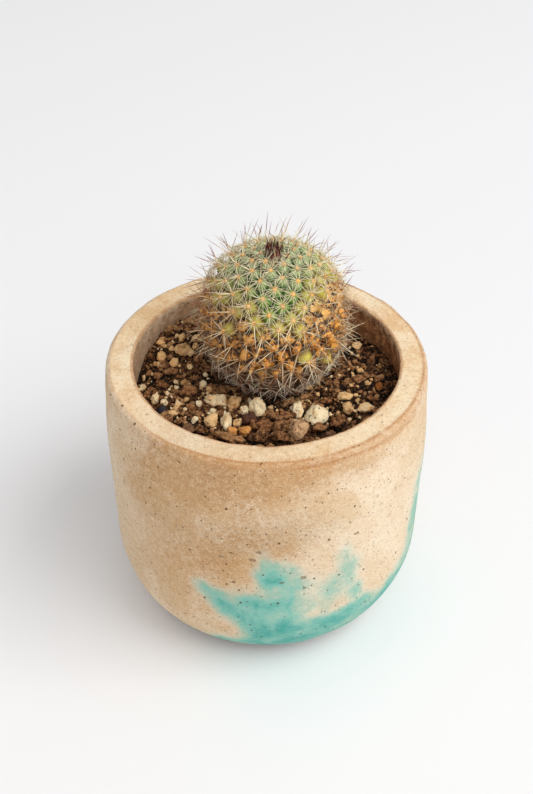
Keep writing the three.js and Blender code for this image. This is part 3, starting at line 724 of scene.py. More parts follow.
def makeListed(name, s, listed, material, slot):
    # One chip for each row of a list: place, length, width, height, turn in degrees, and how dark or light it is.
    rows = np.array(listed["rows"], float)
    x, y, tall, turn, tone = rows[:, 0], rows[:, 1], rows[:, 4], rows[:, 5], rows[:, 6]
    random = np.random.default_rng(listed["seed"])
    ball = s["smallBall"]
    shapes = chipShapes(random, len(rows), ballGrid(*ball), listed["sharpness"], listed["rough"], s["shallow"])
    shapes = shapes / np.abs(shapes).max(1, keepdims=True) * rows[:, None, 2:5] / 2
    turned = np.einsum("cij,cvj->cvi", turnAbout([0, 0, 1.0], np.radians(turn)), shapes)
    height = shapes[..., 2] / tall[:, None]
    # Chips with a stone finish also take painted shade and soil dust low down.
    makePiece(name, seatedOn(turned, x, y, s["listedRise"] * tall), closedFaces(*ball), material, slot,
              tone=shadedTone(tone, height, -0.2, 0.15), shade=tone, warm=random.uniform(0.2, 1, len(rows)),
              dust=1 - ease(height, *s["dusty"]))


def stoneMaterial(s, name, light, dark, pit, roughness=0.92, speckle=0.2, fleck=0.0):
    m = Finish(name, roughness, 0.25)
    d = m.traits("dust", "shade")
    d["broad"], d["fine"], d["flecks"] = m.grain(2.0, 4, 0.65, 0.3), m.grain(0.45, 3, 0.7), m.grain(0.7, 2, 0.5)
    distance, which = m.cells(s["hollowSpacing"])
    d["hollow"] = m.times(m.fade(distance, 0.30, 0.12), m.fade(which, 0.6, 0.65))
    toned = m.plus(m.fade(d["broad"], 0.45, 0.72), d["shade"])
    # Low down each stone turns towards its dark colour: painted shade. The next line lays soil dust at its foot.
    d["toned"] = m.plus(toned, m.fade(d["dust"], 0.2, 0.9, 0.0, 0.35))
    d["dusty"] = m.times(m.fade(d["dust"], 0.72, 1.0), m.fade(d["broad"], 0.3, 0.6, 0.0, 0.45))
    face = m.coats(light, d, [
        ("toned", dark), ("hollow", 0.65, pit), ("fine", 0.52, 0.68, 0.0, speckle, dark),
        ("fine", 0.42, 0.3, 0.0, speckle - 0.2, pit), ("flecks", 0.56, 0.66, 0.0, fleck, light),
        ("dusty", s["dustTint"]),
    ])
    return m.paint(face, d, s["relief"])


stones = {
    "ball": (30, 40), "smallBall": (18, 24), "shallow": 0.6, "grow": 1.16, "listedRise": 0.3, "dusty": (-0.45, 0.3),
    "firstSeed": 200, "ripple": 0.035, "rippleSize": 0.8, "rippleSeed": 61, "rippleFine": 3,
    "sharpness": 22, "rough": 0.26, "lifted": 0.12, "anyShade": (-0.1, 0.2),
    # Finishes by slot or by node: name, light, dark and pit colours, then roughness, speckle and fleck.
    "finishes": {
        "pumice": ("cream pumice", (255, 236, 194), (250, 198, 134), (146, 94, 52)),
        "gravel": ("tan gravel", (246, 204, 146), (184, 134, 82), (84, 58, 38)),
        "amber_gravel": ("amber gravel", (222, 156, 86), (152, 92, 42), (84, 48, 26)),
        "charcoal": ("charcoal", (66, 62, 68), (34, 32, 36), (20, 18, 18)),
        "bark": ("bark lump", (132, 94, 66), (58, 39, 27), (22, 15, 11), 0.97),
        "lump_front": ("speckled lump", (228, 184, 138), (116, 82, 58), (30, 19, 13), 0.95, 1.0, 0.9),
        "lump_middle": ("smooth nut", (98, 62, 44), (58, 36, 26), (30, 20, 14), 0.6),
    },
    "dustTint": (104, 72, 48), "hollowSpacing": 1.2, "relief": {"broad": 0.9, "fine": 0.35, "hollow": -0.5},
    # How far each stone's colour is from its lightest, 0 to 1.
    "shade": {
        "stone_centre": -0.1, "stone_heart": -0.1, "stone_round": -0.15, "stone_long": -0.15, "stone_tan_left": -0.2,
        "stone_back_b": 0.9, "stone_back_c": 0.8, "stone_back_d": 0.8, "stone_back_f": 0.7, "stone_east_b": 0.45,
        "stone_greyish": 0.3, "stone_east_a": 0.1, "stone_flat": 0.15, "stone_west_f": 0.4, "stone_east_d": 1.0,
        "stone_orange": -0.1, "lump_front": -0.1,
    },
    # How much wider, deeper and taller a stone is than its node's box, where that isn't 1.
    "stretch": {
        "stone_flat": (1, 1.1, 1.5), "stone_centre": (1, 1, 1.3), "stone_heart": (1.25, 1.1, 1.05),
        "stone_round": (0.94, 1.0, 1.05), "stone_long": (1.3, 1.25, 1.5), "stone_tan_left": (1.0, 1, 1.1),
        "lump_front": (1.15, 1.1, 1.15), "stone_grey": (1.1, 1, 1.15),
    },
    # Stones with rounder corners and smoother faces, and how far some are lifted against their height.
    "softer": {"lump_front": (6, 0.2), "stone_round": (6, 0.2)},
    "lift": {"stone_flat": -0.05, "stone_round": -0.2, "stone_heart": -0.15, "stone_long": -0.08, "lump_front": -0.08},
    # Knobs and tails, and notches where the pull is less than 0: direction, pull, and width in radians.
    "knobs": {
        "stone_centre": [((0.8, -0.4, -0.45), 0.7, 0.3), ((-0.2, 0.6, 0.7), 0.25, 0.5)],
        "stone_heart": [((0.4, 0.55, 0.7), 0.5, 0.5), ((0.1, -0.6, -0.75), 0.3, 0.45), ((-0.9, -0.3, 0.1), -0.4, 0.35),
                        ((0.9, -0.3, 0.1), -0.3, 0.3)],
        "stone_flat": [((0.65, 0.5, 0.55), 0.4, 0.25), ((0.85, -0.3, -0.3), 0.3, 0.35), ((-0.9, 0.3, 0.2), 0.2, 0.4)],
        "stone_long": [((-0.1, 0.7, 0.7), 0.3, 0.4), ((0.2, -0.7, -0.7), 0.3, 0.35)],
        "stone_east_b": [((-0.9, -0.2, -0.2), 0.35, 0.35), ((0.7, 0.5, 0.4), 0.3, 0.4),
                         ((-0.3, 0.5, 0.7), -0.25, 0.35)],
        "stone_west_b": [((0.3, 0.6, 0.7), 0.5, 0.35)],
        "stone_west_d": [((-0.8, 0.3, 0.4), 0.35, 0.35), ((0.9, 0, 0.1), 0.3, 0.3)],
    },
}

# Small chips without a node: place, length, width, height, turn, and shade.
looseChips = {"seed": 56, "sharpness": 14, "rough": 0.26, "rows": [
    (-4.6, -5.6, 1.5, 1.2, 3.2, 20, 0.1), (-15.3, -13.2, 2.2, 1.1, 1.2, 8, 0.0),
    (16.7, -11.1, 1.3, 1.1, 1.4, 40, 0.0), (1.3, -9.8, 2.0, 1.5, 1.6, 10, 0.7),
    (2.9, -11.5, 1.2, 1.0, 1.0, 50, 0.6), (14.4, -5.0, 1.5, 1.9, 2.4, -20, 0.7),
    (-35.8, -1.8, 1.7, 1.6, 1.6, 30, 0.1), (-35.2, 3.6, 1.0, 1.3, 2.3, 10, 0.2),
    (-25.7, 0.9, 1.7, 1.5, 1.7, 0, 0.3), (-17.2, 2.3, 1.9, 1.7, 1.8, 0, 0.0), (-21.7, 9.6, 2.3, 2.0, 2.4, 30, 0.6),
    (-22.0, 6.0, 2.2, 2.0, 2.0, -30, 0.5), (-26.4, 17.2, 1.7, 1.4, 1.5, 20, 0.5),
    (-30.7, 14.5, 3.0, 2.2, 2.0, 15, 1.0), (-30.0, 8.8, 1.8, 1.6, 2.0, 40, 0.8),
    (-27.6, 11.9, 2.1, 1.9, 2.2, 60, 0.8), (-25.5, -2.1, 1.6, 1.4, 1.5, 0, 0.2),
    (-27.9, -4.5, 1.9, 1.4, 1.3, -40, 0.1), (-34.1, -7.2, 1.4, 1.1, 1.0, 20, 0.0),
    (-24.7, -9.8, 1.7, 1.2, 1.1, 5, 0.4), (-22.5, -11.9, 1.4, 1.1, 1.1, 0, 0.2),
    (-32.2, 8.3, 1.7, 1.5, 1.6, 0, 0.9), (-24.9, 15.0, 2.6, 2.4, 3.0, 70, 0.8),
    (-20.8, 16.0, 4.2, 3.2, 3.4, 20, 0.7), (-20.7, 12.4, 3.0, 2.2, 2.8, 80, 0.9),
    (24.7, 1.8, 1.3, 1.1, 1.2, 0, 0.5), (22.5, -15.7, 1.7, 1.3, 1.2, 10, 0.5), (25.0, -6.7, 1.6, 1.2, 1.2, 30, 0.6),
    (26.8, 4.1, 2.4, 1.8, 2.2, -30, 0.9), (29.5, -1.5, 1.3, 1.1, 1.1, 0, 0.8),
    (-13.0, -22.3, 1.5, 1.2, 1.2, 0, 0.6), (-29.8, -13.4, 1.4, 1.0, 1.1, 0, 0.1),
    (6.5, 27.5, 2.0, 1.6, 1.6, 0, 0.6), (18.0, 24.0, 1.8, 1.5, 1.5, 30, 0.4), (-4.0, 29.5, 2.2, 1.8, 1.7, 0, 0.5),
]}

# Larger pieces of bark without a node: the same, with a tone from 0, black, to 1, light brown.
barkPieces = {"seed": 55, "sharpness": 10, "rough": 0.5, "rows": [
    (-21.4, -4.6, 6.6, 5.4, 4.2, 20, 0.62), (-28.9, -0.4, 6.5, 2.8, 2.4, -35, 0.5),
    (-31.3, 3.8, 5.0, 3.0, 2.5, 60, 0.45), (-27.2, 4.7, 5.6, 3.0, 2.6, 15, 0.6),
    (-11.0, -24.8, 8.6, 3.2, 3.8, -24, 0.6), (-17.1, -21.4, 4.5, 3.0, 3.2, -35, 0.2),
    (-1.2, -20.3, 7.4, 5.2, 5.6, -30, 0.36), (-2.2, -24.6, 7.4, 4.0, 5.4, -8, 0.26),
    (14.4, -20.6, 5.2, 3.6, 4.2, 30, 0.5), (19.6, -19.0, 6.0, 3.6, 4.4, 40, 0.3),
    (3.6, -24.8, 5.4, 3.4, 5.0, 15, 0.3), (2.4, -15.6, 7.4, 2.6, 3.6, -38, 0.5),
    (16.8, -7.6, 5.0, 3.5, 2.4, 10, 0.35), (-21.6, -18.4, 2.2, 3.6, 2.6, 25, 0.8),
    (22.4, -1.2, 4.5, 3.2, 2.6, 50, 0.5), (-7.0, -26.0, 3.2, 2.4, 2.4, 0, 0.75),
    (-33.5, -3.2, 4.0, 2.4, 2.0, 70, 0.4), (27.5, -16.5, 4.4, 2.6, 2.4, 55, 0.35),
    (30.5, 8.5, 5.5, 3.0, 2.8, 75, 0.3), (-30.0, -5.6, 3.8, 1.6, 1.6, 30, 0.5),
    (18.5, 20.0, 5.0, 3.4, 3.0, -40, 0.3), (-9.0, 26.0, 5.5, 3.2, 2.8, 20, 0.4),
    (-18.2, -9.0, 3.0, 2.2, 1.8, 0, 0.3), (8.0, -14.0, 3.2, 2.0, 2.0, 30, 0.2),
]}

# Scattered crumbs: the ring that they lie in, and how near the wall they may reach. Each kind gives how many there
# are, their length, their width and thickness against it, and how far they rise above the soil against it.
crumbs = {
    "ring": (7, 36.9), "wall": 37.0, "shortest": 0.5, "shallow": 0.72, "lean": 0.7, "dust": 0.15,
    "bark_lumps": {
        "seed": 50, "count": 260, "length": (2.8, 6.0), "width": (0.5, 0.85), "thickness": (0.4, 0.65),
        "rise": (-0.08, 0.14), "tone": (0.15, 0.95), "ball": (16, 22), "sharpness": 12, "rough": 0.5, "smooth": True,
    },
    "bark_crumbs": {
        "seed": 51, "count": 1700, "length": (1.1, 3.2), "width": (0.5, 0.9), "thickness": (0.4, 0.75),
        "rise": (-0.05, 0.3), "tone": (0.05, 1.0), "ball": (5, 8), "sharpness": 10, "rough": 0.45, "smooth": False,
    },
    "peat_crumbs": {
        "seed": 52, "count": 2400, "length": (0.5, 1.3), "width": (0.6, 1.0), "thickness": (0.6, 1.0),
        "rise": (0.0, 0.6), "tone": (0.0, 1.0), "ball": (3, 6), "sharpness": 7, "rough": 0.35, "smooth": False,
    },
    "tan_grit": {
        "seed": 54, "count": 240, "length": (0.9, 2.4), "width": (0.6, 0.95), "thickness": (0.6, 0.95),
        "rise": (-0.05, 0.35), "tone": (0, 1), "ball": (6, 9), "sharpness": 12, "rough": 0.3, "smooth": True,
    },
    "pale_grit": {
        "seed": 53, "count": 260, "length": (0.5, 1.5), "width": (0.6, 1.0), "thickness": (0.6, 1.0),
        "rise": (0.1, 0.6), "tone": (0, 1), "ball": (4, 7), "sharpness": 9, "rough": 0.3, "smooth": True,
    },
}

stoneNodes = [node for node in sorted(frame["nodes"]) if node.startswith(("stone_", "lump_"))]


def makeStones(s, finishes):
    # One chip for each stone node, a little larger than the node's box each way so that it stands clear of the soil.
    directions = ballGrid(*s["ball"])
    slotOf = {part["node"]: part["material_slot"] for part in frame["record"]["subparts"]}
    for order, node in enumerate(stoneNodes):
        random = np.random.default_rng(s["firstSeed"] + order)
        low, high = boxInMm(node)
        sharpness, rough = s["softer"].get(node, (s["sharpness"], s["rough"]))
        shape = chipShapes(random, 1, directions, sharpness, rough, s["shallow"])[0]
        for toward, pull, width in s["knobs"].get(node, []):
            angle = np.arccos(np.clip(directions @ unit(np.array(toward)), -1, 1))
            shape = shape * (1 + pull * hump(angle, width))[:, None]
        ripple = roughNoise(shape * s["rippleFine"] + order, s["rippleSize"], 2, s["rippleSeed"])
        shape = shape + s["ripple"] * directions * ripple[:, None]
        shape = (shape - (shape.max(0) + shape.min(0)) / 2) / (shape.max(0) - shape.min(0))
        size = (high - low) * s["grow"] * s["stretch"].get(node, (1, 1, 1))
        points = shape * size + (low + high) / 2 + [0, 0, s["lift"].get(node, s["lifted"]) * (high - low)[2]]
        shade = s["shade"].get(node, random.uniform(*s["anyShade"]))
        slot = slotOf[node]
        name = node.replace("stone_", "pebble_").replace("lump_", "clod_")
        # This trait is 1 at the bottom of each stone, for painted shade and soil dust there.
        makePiece(name, points, closedFaces(*s["ball"]), finishes.get(node, finishes[slot]), slot, [node],
                  shade=shade, dust=1 - ease(shape[:, 2], *s["dusty"]))


def roomTaken():
    # Circles that scattered crumbs keep clear of: each listed piece and each stone.
    taken = [(row[0], row[1], 0.36 * (row[2] + row[3]) / 2) for row in looseChips["rows"] + barkPieces["rows"]]
    for node in stoneNodes:
        low, high = boxInMm(node)
        taken.append((*((low + high) / 2)[:2], (high - low)[:2].mean() * 0.46))
    return taken


def makeGround():
    makeSoilBed(soil)
    taken = roomTaken()
    crumbMaterial = soilMaterial("bark crumbs", soil, 0.9)
    finishes = {key: stoneMaterial(stones, *row) for key, row in stones["finishes"].items()}
    for name in ("bark_lumps", "bark_crumbs", "peat_crumbs"):
        makeCrumbs(name, crumbs, crumbMaterial, "soil", taken)
    makeListed("bark_pieces", stones, barkPieces, crumbMaterial, "soil")
    makeListed("loose_chips", stones, looseChips, finishes["pumice"], "pumice")
    makeStones(stones, finishes)
    makeCrumbs("tan_grit", crumbs, finishes["gravel"], "gravel", taken)
    makeCrumbs("pale_grit", crumbs, finishes["pumice"], "pumice", taken)


makeGround()


def globeOutline(c):
    # A quarter ellipse from the top to the girth, most of a fuller one below it, then the root neck.
    upper = np.linspace(math.pi / 2, 0, c["outlineSteps"])
    lowest = math.acos((c["neckRadius"] / c["radius"]) ** (1 / c["fullness"]))
    lower = np.linspace(0, -lowest, c["outlineSteps"])[1:]
    crown = np.stack([c["radius"] * np.cos(upper), c["z"] + c["crown"] * np.sin(upper)], -1)
    belly = np.stack([c["radius"] * np.cos(lower) ** c["fullness"], c["z"] + c["belly"] * np.sin(lower)], -1)
    return np.concatenate([crown, belly, [[c["rootRadius"], c["rootTip"] + c["rootLength"]], [0, c["rootTip"]]]])


def globePoint(outline, index, turn, c):
    # A point at a fractional index along the outline, turned round the axis, and the outline's normal there.
    low = np.clip(np.floor(index).astype(int), 0, len(outline) - 2)
    part = (index - low)[..., None]
    at = outline[low] * (1 - part) + outline[low + 1] * part
    along = unit(outline[low + 1] - outline[low])
    axis = np.stack([-along[..., 1] * np.cos(turn), -along[..., 1] * np.sin(turn), along[..., 0]], -1)
    return np.stack([c["x"] + at[..., 0] * np.cos(turn), c["y"] + at[..., 0] * np.sin(turn), at[..., 1]], -1), axis


def spiralOfTufts(c, outline):
    # Shares of the surface from the top down, smaller near the top, each turned on by the golden angle.
    length = np.linalg.norm(np.diff(outline, axis=0), axis=1)
    area = np.concatenate([[0], np.cumsum((outline[1:, 0] + outline[:-1, 0]) * length)])
    number = np.arange(c["tubercles"])
    share = ((number + 0.5) / c["tubercles"]) ** c["crowding"]
    index = np.interp(share * area[-1], area, np.arange(len(outline)))
    base, axis = globePoint(outline, index, number * goldenAngle, c)
    kept = base[:, 2] > c["lowest"]
    return base[kept], axis[kept]


def globeAngles(points, c):
    # Azimuth and latitude on the globe, in degrees.
    x, y, z = (points[..., i] - c[key] for i, key in enumerate("xyz"))
    return np.degrees(np.arctan2(y, x)), np.degrees(np.arctan2(z, np.hypot(x, y)))


def belowEdge(points, c):
    # Degrees of latitude below the edge between the fresh green crown and the dried skin.
    azimuth, latitude = globeAngles(points, c)
    edge = np.interp(azimuth, *zip(*c["edge"]), period=360)
    below = edge - latitude + 7 * smoothNoise(points, 4, 71)
    for atAzimuth, atLatitude, reach in c["greenPatches"]:
        off = np.hypot((azimuth - atAzimuth + 180) % 360 - 180, latitude - atLatitude)
        below = np.where(off < reach, np.minimum(below, -1.0), below)
    return below


def nearestTufts(points, base, atOnce=8000):
    # Distances to the nearest tuft and to the next one, and which is nearest, some of the points at a time.
    nearest, second, owner = np.empty(len(points)), np.empty(len(points)), np.empty(len(points), int)
    for start in range(0, len(points), atOnce):
        some = slice(start, start + atOnce)
        away = np.linalg.norm(points[some, None, :] - base[None], axis=-1)
        owner[some] = away.argmin(1)
        away.partition(1, axis=1)
        nearest[some], second[some] = away[:, 0], away[:, 1]
    return nearest, second, owner


def makeGlobe(c, outline, base):
    # Skin over the outline: each point is lifted by how much nearer it is to its own tuft than to the next one,
    # which gives rounded pyramids with furrows between. Dried skin is lower and wrinkled, with a bell-shaped
    # knob under each tuft.
    rows = np.concatenate([np.linspace(c["firstRow"], 2 * c["outlineSteps"] - 2, c["rows"]), c["neckRows"]])
    index, around = np.meshgrid(rows, angles(c["columns"]), indexing="ij")
    bare, axis = globePoint(outline, index, around, c)
    nearest, second, owner = nearestTufts(bare.reshape(-1, 3), base)
    peak = ((second - nearest) / (second + nearest)).reshape(index.shape)
    below = belowEdge(base, c)[owner].reshape(index.shape)
    dried = ease(below + 3 * smoothNoise(bare, 2, 73), -1, 5)
    plump = c["tubercleHeight"] * np.clip(peak, 0, 1) ** 0.8
    knob = hump(nearest.reshape(index.shape), c["knobWidth"])
    wrinkled = c["driedPeak"] * np.clip(peak, 0, 1) ** 1.2 + c["driedKnob"] * knob - c["driedFurrow"] * (1 - peak)
    wrinkled = wrinkled + c["wrinkle"] * roughNoise(bare, c["wrinkleSize"], 4, 72)
    lift = (plump * (1 - dried) + wrinkled * dried) * ease(bare[..., 2], 77, 81)
    ends = [[c["x"], c["y"], c["z"] + c["crown"] + 1.2], [c["x"], c["y"], c["rootTip"]]]
    points = np.concatenate([(bare + axis * lift[..., None]).reshape(-1, 3), ends])
    # One trait is painted shade, 1 on the left of the globe, that darkens the skin there.
    traits = {"peak": peak, "dried": dried, "latitude": globeAngles(bare, c)[1], "below": below, "knob": knob,
              "paintedShadeLeft": ease(-np.cos(around), 0.1, 0.8)}  # 1 on the left
    traits = {key: np.append(values.ravel(), [values[0, 0], values[-1, 0]]) for key, values in traits.items()}
    makePiece("cactus_skin", points, closedFaces(len(rows), c["columns"]), skinMaterial(c), "cactus", ["cactus"],
              **traits)


def skinMaterial(c):
    m = Finish("cactus skin", 0.5, 0.4)
    d = m.traits("peak", "dried", "latitude", "below", "knob", "paintedShadeLeft")
    d["mottle"], d["fine"] = m.grain(1.6, 3, 0.6), m.grain(0.4, 2, 0.6)
    d["patch"] = m.plus(m.fade(m.grain(1.7, 4, 0.62, 0.6), 0.38, 0.66), m.times(d["peak"], 0.25))
    # Painted light: the upper dried skin is lighter in its bright patches.
    d["paintedTopLight"] = m.times(m.fade(d["latitude"], 0, 30, 0.0, 0.85), m.fade(d["patch"], 0.3, 0.8))
    m.mix(d, c, "fresh", "young", "yellow", "ochre")
    return m.paint(m.coats(m.coats(d["fresh"], d, c["green"]), d, c["skin"]), d, c["relief"])


tufts = {
    "seed": 81,
    # Spines on a tuft, their length, radius at the root and lean from the tuft's axis, and the sides and steps of each.
    "radials": 18, "radialLength": (3.9, 5.8), "radialRadius": 0.098, "radialTilt": (1.2, 1.48), "radialGrid": (3, 3),
    "centrals": 3, "centralLength": (5.8, 9.4), "centralRadius": 0.16, "centralTilt": (0.25, 1.15),
    "centralGrid": (4, 5),
    "apexSpines": 84, "apexReach": 3.9, "apexLength": (3.0, 5.8), "apexRadius": 0.19, "apexGrid": (4, 4),
    "apexForward": 1.4, "apexNarrow": 0.75,
    "woolBall": (5, 8), "woolSize": (0.62, 0.62, 0.5),
    # Coats of the spines, from the root outward: new straw, old brown, and the dark red of the tips.
    "straw": ((236, 176, 92), [("along", 0.0, 0.25, (255, 246, 212)), ("tone", 0.4, (244, 222, 172))]),
    "old": ((208, 156, 102), [("tone", 0.1, 0.8, (142, 88, 46)), ("low", 0.8, (238, 218, 200))]),
    "dark": ((136, 50, 42), [("maroon", 0.85, 1.2, (48, 14, 16))]),
    "spine": [("grey", "old"), ("redPart", "dark")],
    # Coats of the wool that they grow from.
    "aged": ((252, 200, 120), [("tone", (180, 112, 58))]),
    "wool": ((246, 196, 112), [("tone", (238, 200, 146)), ("dried", "aged"), ("low", (120, 86, 60)),
                               ("fine", 0.5, 0.72, 0.0, 0.6, (176, 106, 50))]),
    "woolRelief": {"fine": 0.2},
}


def spineMaterial(t):
    m = Finish("spines", 0.4, 0.4)
    d = m.traits("along", "maroon", "grey", "tone", "low")
    redPart = m.fade(m.plus(d["along"], m.times(d["maroon"], 0.35)), 0.5, 0.9)
    d["redPart"] = m.times(redPart, m.fade(d["maroon"], 0.0, 0.8))
    m.mix(d, t, "straw", "old", "dark")
    return m.paint(m.coats(d["straw"], d, t["spine"]), d, {})


def woolMaterial(t):
    m = Finish("areole wool", 0.9, 0.2)
    d = m.traits("tone", "dried", "low")
    d["fine"] = m.grain(0.3, 2, 0.6)
    m.mix(d, t, "aged", "wool")
    return m.paint(d["wool"], d, t["woolRelief"])


def makeSpines(name, root, direction, bend, length, radius, grid, material, **traits):
    # A thin tapering rod for each spine: rings round a slightly bent line, closed at the root and run to a point.
    sides, steps = grid
    share = np.linspace(0, 1, steps + 1)[:-1]
    helper = np.where(np.abs(direction[:, 2:]) > 0.9, [[1.0, 0, 0]], [[0, 0, 1.0]])
    left = unit(np.cross(helper, direction))
    other = np.cross(direction, left)
    bent = direction[:, None] * share[:, None] + bend[:, None] * (share ** 2)[:, None]
    line = root[:, None] + length[:, None, None] * bent
    width = radius[:, None] * (1 - share) ** 0.75
    angle = angles(sides)[:, None]
    ring = np.cos(angle) * left[:, None, :] + np.sin(angle) * other[:, None, :]
    rings = line[:, :, None, :] + width[:, :, None, None] * ring[:, None, :, :]
    tip = root + length[:, None] * (direction + bend)
    points = np.concatenate([rings.reshape(len(root), -1, 3), root[:, None], tip[:, None]], 1)
    along = np.tile(np.concatenate([np.repeat(share, sides), [0, 1]]), len(root))
    makePiece(name, points, closedFaces(steps, sides), material, "cactus", along=along, **traits)


def levelAxis(axis):
    # A level direction square to each axis.
    return unit(np.cross([[0, 0, 1.0]], axis + [[1e-6, 0, 0]]))


def leaning(axis, turnRound, tilt):
    # Directions that lean from each axis by the tilt, towards an angle round it.
    level, tilt, turnRound = levelAxis(axis), tilt[:, None], turnRound[:, None]
    return (axis * np.cos(tilt) + level * (np.sin(tilt) * np.cos(turnRound))
            + np.cross(axis, level) * (np.sin(tilt) * np.sin(turnRound)))


def chosen(tuft, which):
    # What each spine takes from the tuft that it stands on.
    return [tuft[key][which] for key in ("tips", "axis", "latitude", "dried", "facing", "paintedShadeLeft")]


def makeRadials(t, tuft, random, material):
    # A star round each tuft, low over the skin, and in disorder where the skin has dried.
    count, total = t["radials"], len(tuft["tips"])
    which = np.repeat(np.arange(total), count)
    turnRound = np.tile(angles(count), total) + random.uniform(-0.16, 0.16, len(which))
    left = random.uniform(0, 1, len(which)) > 0.35 * tuft["dried"][which]
    turnRound = turnRound[left]
    tips, axis, latitude, old, _, paintedShadeLeft = chosen(tuft, which[left])
    number, low = len(tips), ease(-latitude, 5, 38)
    tilt = random.uniform(*t["radialTilt"], number) + old * random.uniform(-0.4, 0.1, number)
    direction = leaning(axis, turnRound + old * random.normal(0, 0.3, number), tilt)
    length = random.uniform(*t["radialLength"], number) * (1 - 0.3 * ease(latitude, 50, 80)) * (1 - 0.05 * low)
    bend = -0.10 * axis * random.uniform(0.3, 1.3, number)[:, None] + random.normal(0, 0.03, (number, 3))
    root = tips + random.normal(0, 0.16, (number, 3))
    # Radials on the left turn browner by painted shade.
    makeSpines("radial_spines", root, direction, bend, length, t["radialRadius"] * (1 - 0.3 * old), t["radialGrid"],
               material, maroon=0.2 * random.uniform(0, 1, number) * ease(latitude, 45, 65),
               grey=np.clip(old * (0.62 + 0.38 * low) * random.uniform(0.6, 1.3, number) + 0.4 * paintedShadeLeft, 0, 1),
               tone=random.uniform(0, 1, number), low=low)


def makeCentrals(t, tuft, random, material):
    # Longer and stouter spines that stand out from the tuft, fewer low down and at the top.
    which = np.repeat(np.arange(len(tuft["tips"])), t["centrals"])
    latitude = tuft["latitude"][which]
    share = 0.72 - 0.4 * ease(-latitude, 10, 30) - 0.2 * ease(latitude, 35, 60)
    tips, axis, latitude, old, facing, paintedShadeLeft = chosen(tuft, which[random.uniform(0, 1, len(which)) < share])
    number, low = len(tips), ease(-latitude, 0, 35)
    turnRound = random.uniform(0, fullTurn, number)
    direction = leaning(axis, turnRound, random.uniform(*t["centralTilt"], number))
    droop = 0.3 * facing * ease(-latitude, -48, -20) * random.uniform(0.4, 1.3, number)
    direction = unit(direction - np.array([0, 0, 1.0]) * droop[:, None])
    length = random.uniform(*t["centralLength"], number) * (1 - 0.3 * low) * (1 - 0.15 * old)
    length = length * (1 - 0.25 * ease(latitude, 45, 72))
    bend = random.normal(0, 0.014, (number, 3))
    red = random.uniform(0.4, 1.0, number) * (1 - 0.85 * facing * (1 - ease(latitude, 30, 52)))
    root = tips + random.normal(0, 0.12, (number, 3))
    radius = t["centralRadius"] * random.uniform(0.8, 1.15, number) * (1 - 0.3 * low)
    # Centrals on the left turn browner by painted shade.
    makeSpines("central_spines", root, direction, bend, length, radius, t["centralGrid"], material,
               maroon=red * ease(latitude, -12, 22),
               grey=np.clip(old * 0.5 * random.uniform(0.3, 1.3, number) + 0.45 * paintedShadeLeft, 0, 1),
               tone=random.uniform(0, 1, number), low=low)


def makeApexSpines(t, c, random, material):
    # New spines crowd together at the growing point and stand upright over it.
    number = t["apexSpines"]
    away, around = t["apexReach"] * np.sqrt(random.uniform(0, 1, number)), random.uniform(0, fullTurn, number)
    x, y = t["apexNarrow"] * away * np.cos(around), away * np.sin(around) - t["apexForward"]
    offset = np.stack([x, y, np.zeros(number)], -1)
    drop = c["crown"] * (1 - np.sqrt(1 - (np.hypot(x, y) / c["radius"]) ** 2))
    root = offset + np.stack([np.full(number, c["x"]), np.full(number, c["y"]), c["z"] + c["crown"] + 1.0 - drop], -1)
    direction = unit(-offset * 0.05 + [[0, 0, 1.0]] + random.normal(0, 0.2, (number, 3)))
    bend, length = random.normal(0, 0.03, (number, 3)), random.uniform(*t["apexLength"], number)
    makeSpines("apex_spines", root, direction, bend, length, np.full(number, t["apexRadius"]), t["apexGrid"], material,
               maroon=random.uniform(0.8, 1.5, number), grey=0.0, tone=random.uniform(0, 1, number), low=0.0)


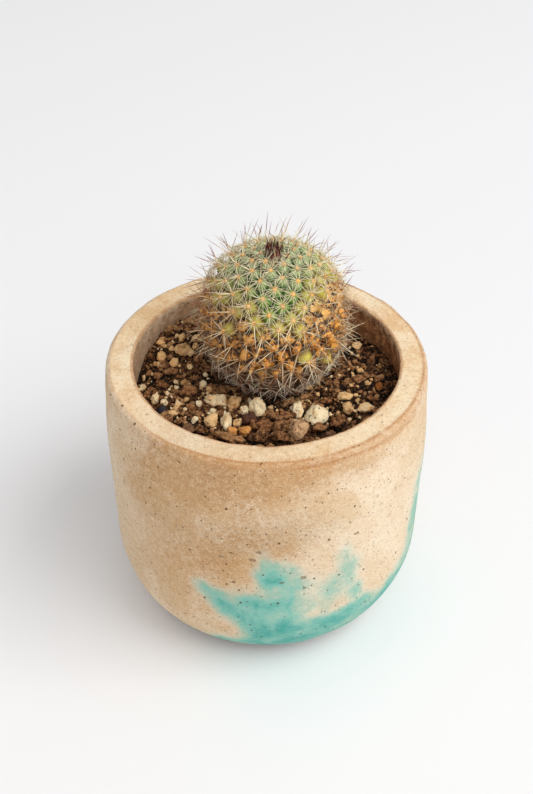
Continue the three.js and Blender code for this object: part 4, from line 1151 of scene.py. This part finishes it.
def makeAreoles(t, tuft, random):
    # Woolly knobs that the spines grow from: squashed balls with a rippled surface, each upright on its own tuft.
    directions, axis, number = ballGrid(*t["woolBall"]), tuft["axis"], len(tuft["axis"])
    size = np.array([t["woolSize"]]) * (random.uniform(0.85, 1.2, number) * (1 - 0.15 * tuft["dried"]))[:, None]
    ripple = 0.2 * smoothNoise(directions[None] + np.arange(number)[:, None, None] * 3.7, 0.8, 82)
    shapes = directions[None] * size[:, None, :] * (1 + ripple)[..., None]
    level = levelAxis(axis)
    turned = np.einsum("nij,nvi->nvj", np.stack([level, np.cross(axis, level), axis], 1), shapes)
    makePiece("areoles", turned + tuft["tips"][:, None], closedFaces(*t["woolBall"]), woolMaterial(t), "cactus",
              low=ease(-tuft["latitude"], 12, 34), dried=tuft["dried"], tone=random.uniform(0, 1, number))


def makeCactus(c, t):
    outline = globeOutline(c)
    base, axis = spiralOfTufts(c, outline)
    makeGlobe(c, outline, base)
    azimuth, latitude = globeAngles(base, c)
    dried = ease(belowEdge(base, c), -1, 5)
    lift = c["tubercleHeight"] * (1 - dried) + c["driedHeight"] * dried
    # Painted shade on the left of the globe: 1 on the left, but not low down nor on the young crown.
    paintedShadeLeft = ease(-np.cos(np.radians(azimuth)), 0.1, 0.8) * ease(latitude, -25, 10)
    tuft = {
        "tips": base + axis * (lift - 0.15)[:, None], "axis": axis, "latitude": latitude, "dried": dried,
        "facing": ease(np.cos(np.radians(azimuth + 90)), 0.1, 0.8),  # 1 on the side whose old spines have bleached
        "paintedShadeLeft": paintedShadeLeft * (1 - ease(latitude, 32, 55)),
    }
    random, material = np.random.default_rng(t["seed"]), spineMaterial(t)
    makeRadials(t, tuft, random, material)
    makeCentrals(t, tuft, random, material)
    makeApexSpines(t, c, random, material)
    makeAreoles(t, tuft, random)


makeCactus(cactus, tufts)


def makeFloor(s):
    half, height = s["floorHalf"], s["floorHeight"]
    mesh = bpy.data.meshes.new("floor")
    corners = [(-half, -half, height), (half, -half, height), (half, half, height), (-half, half, height)]
    mesh.from_pydata(corners, [], [(0, 1, 2, 3)])
    finish = Finish("pale floor", 0.7, 0.2)
    finish.inputs["Base Color"].default_value = s["floorColour"]
    mesh.materials.append(finish.material)
    floor = addObject("floor", mesh)


makeFloor(studio)
print("floor ready")
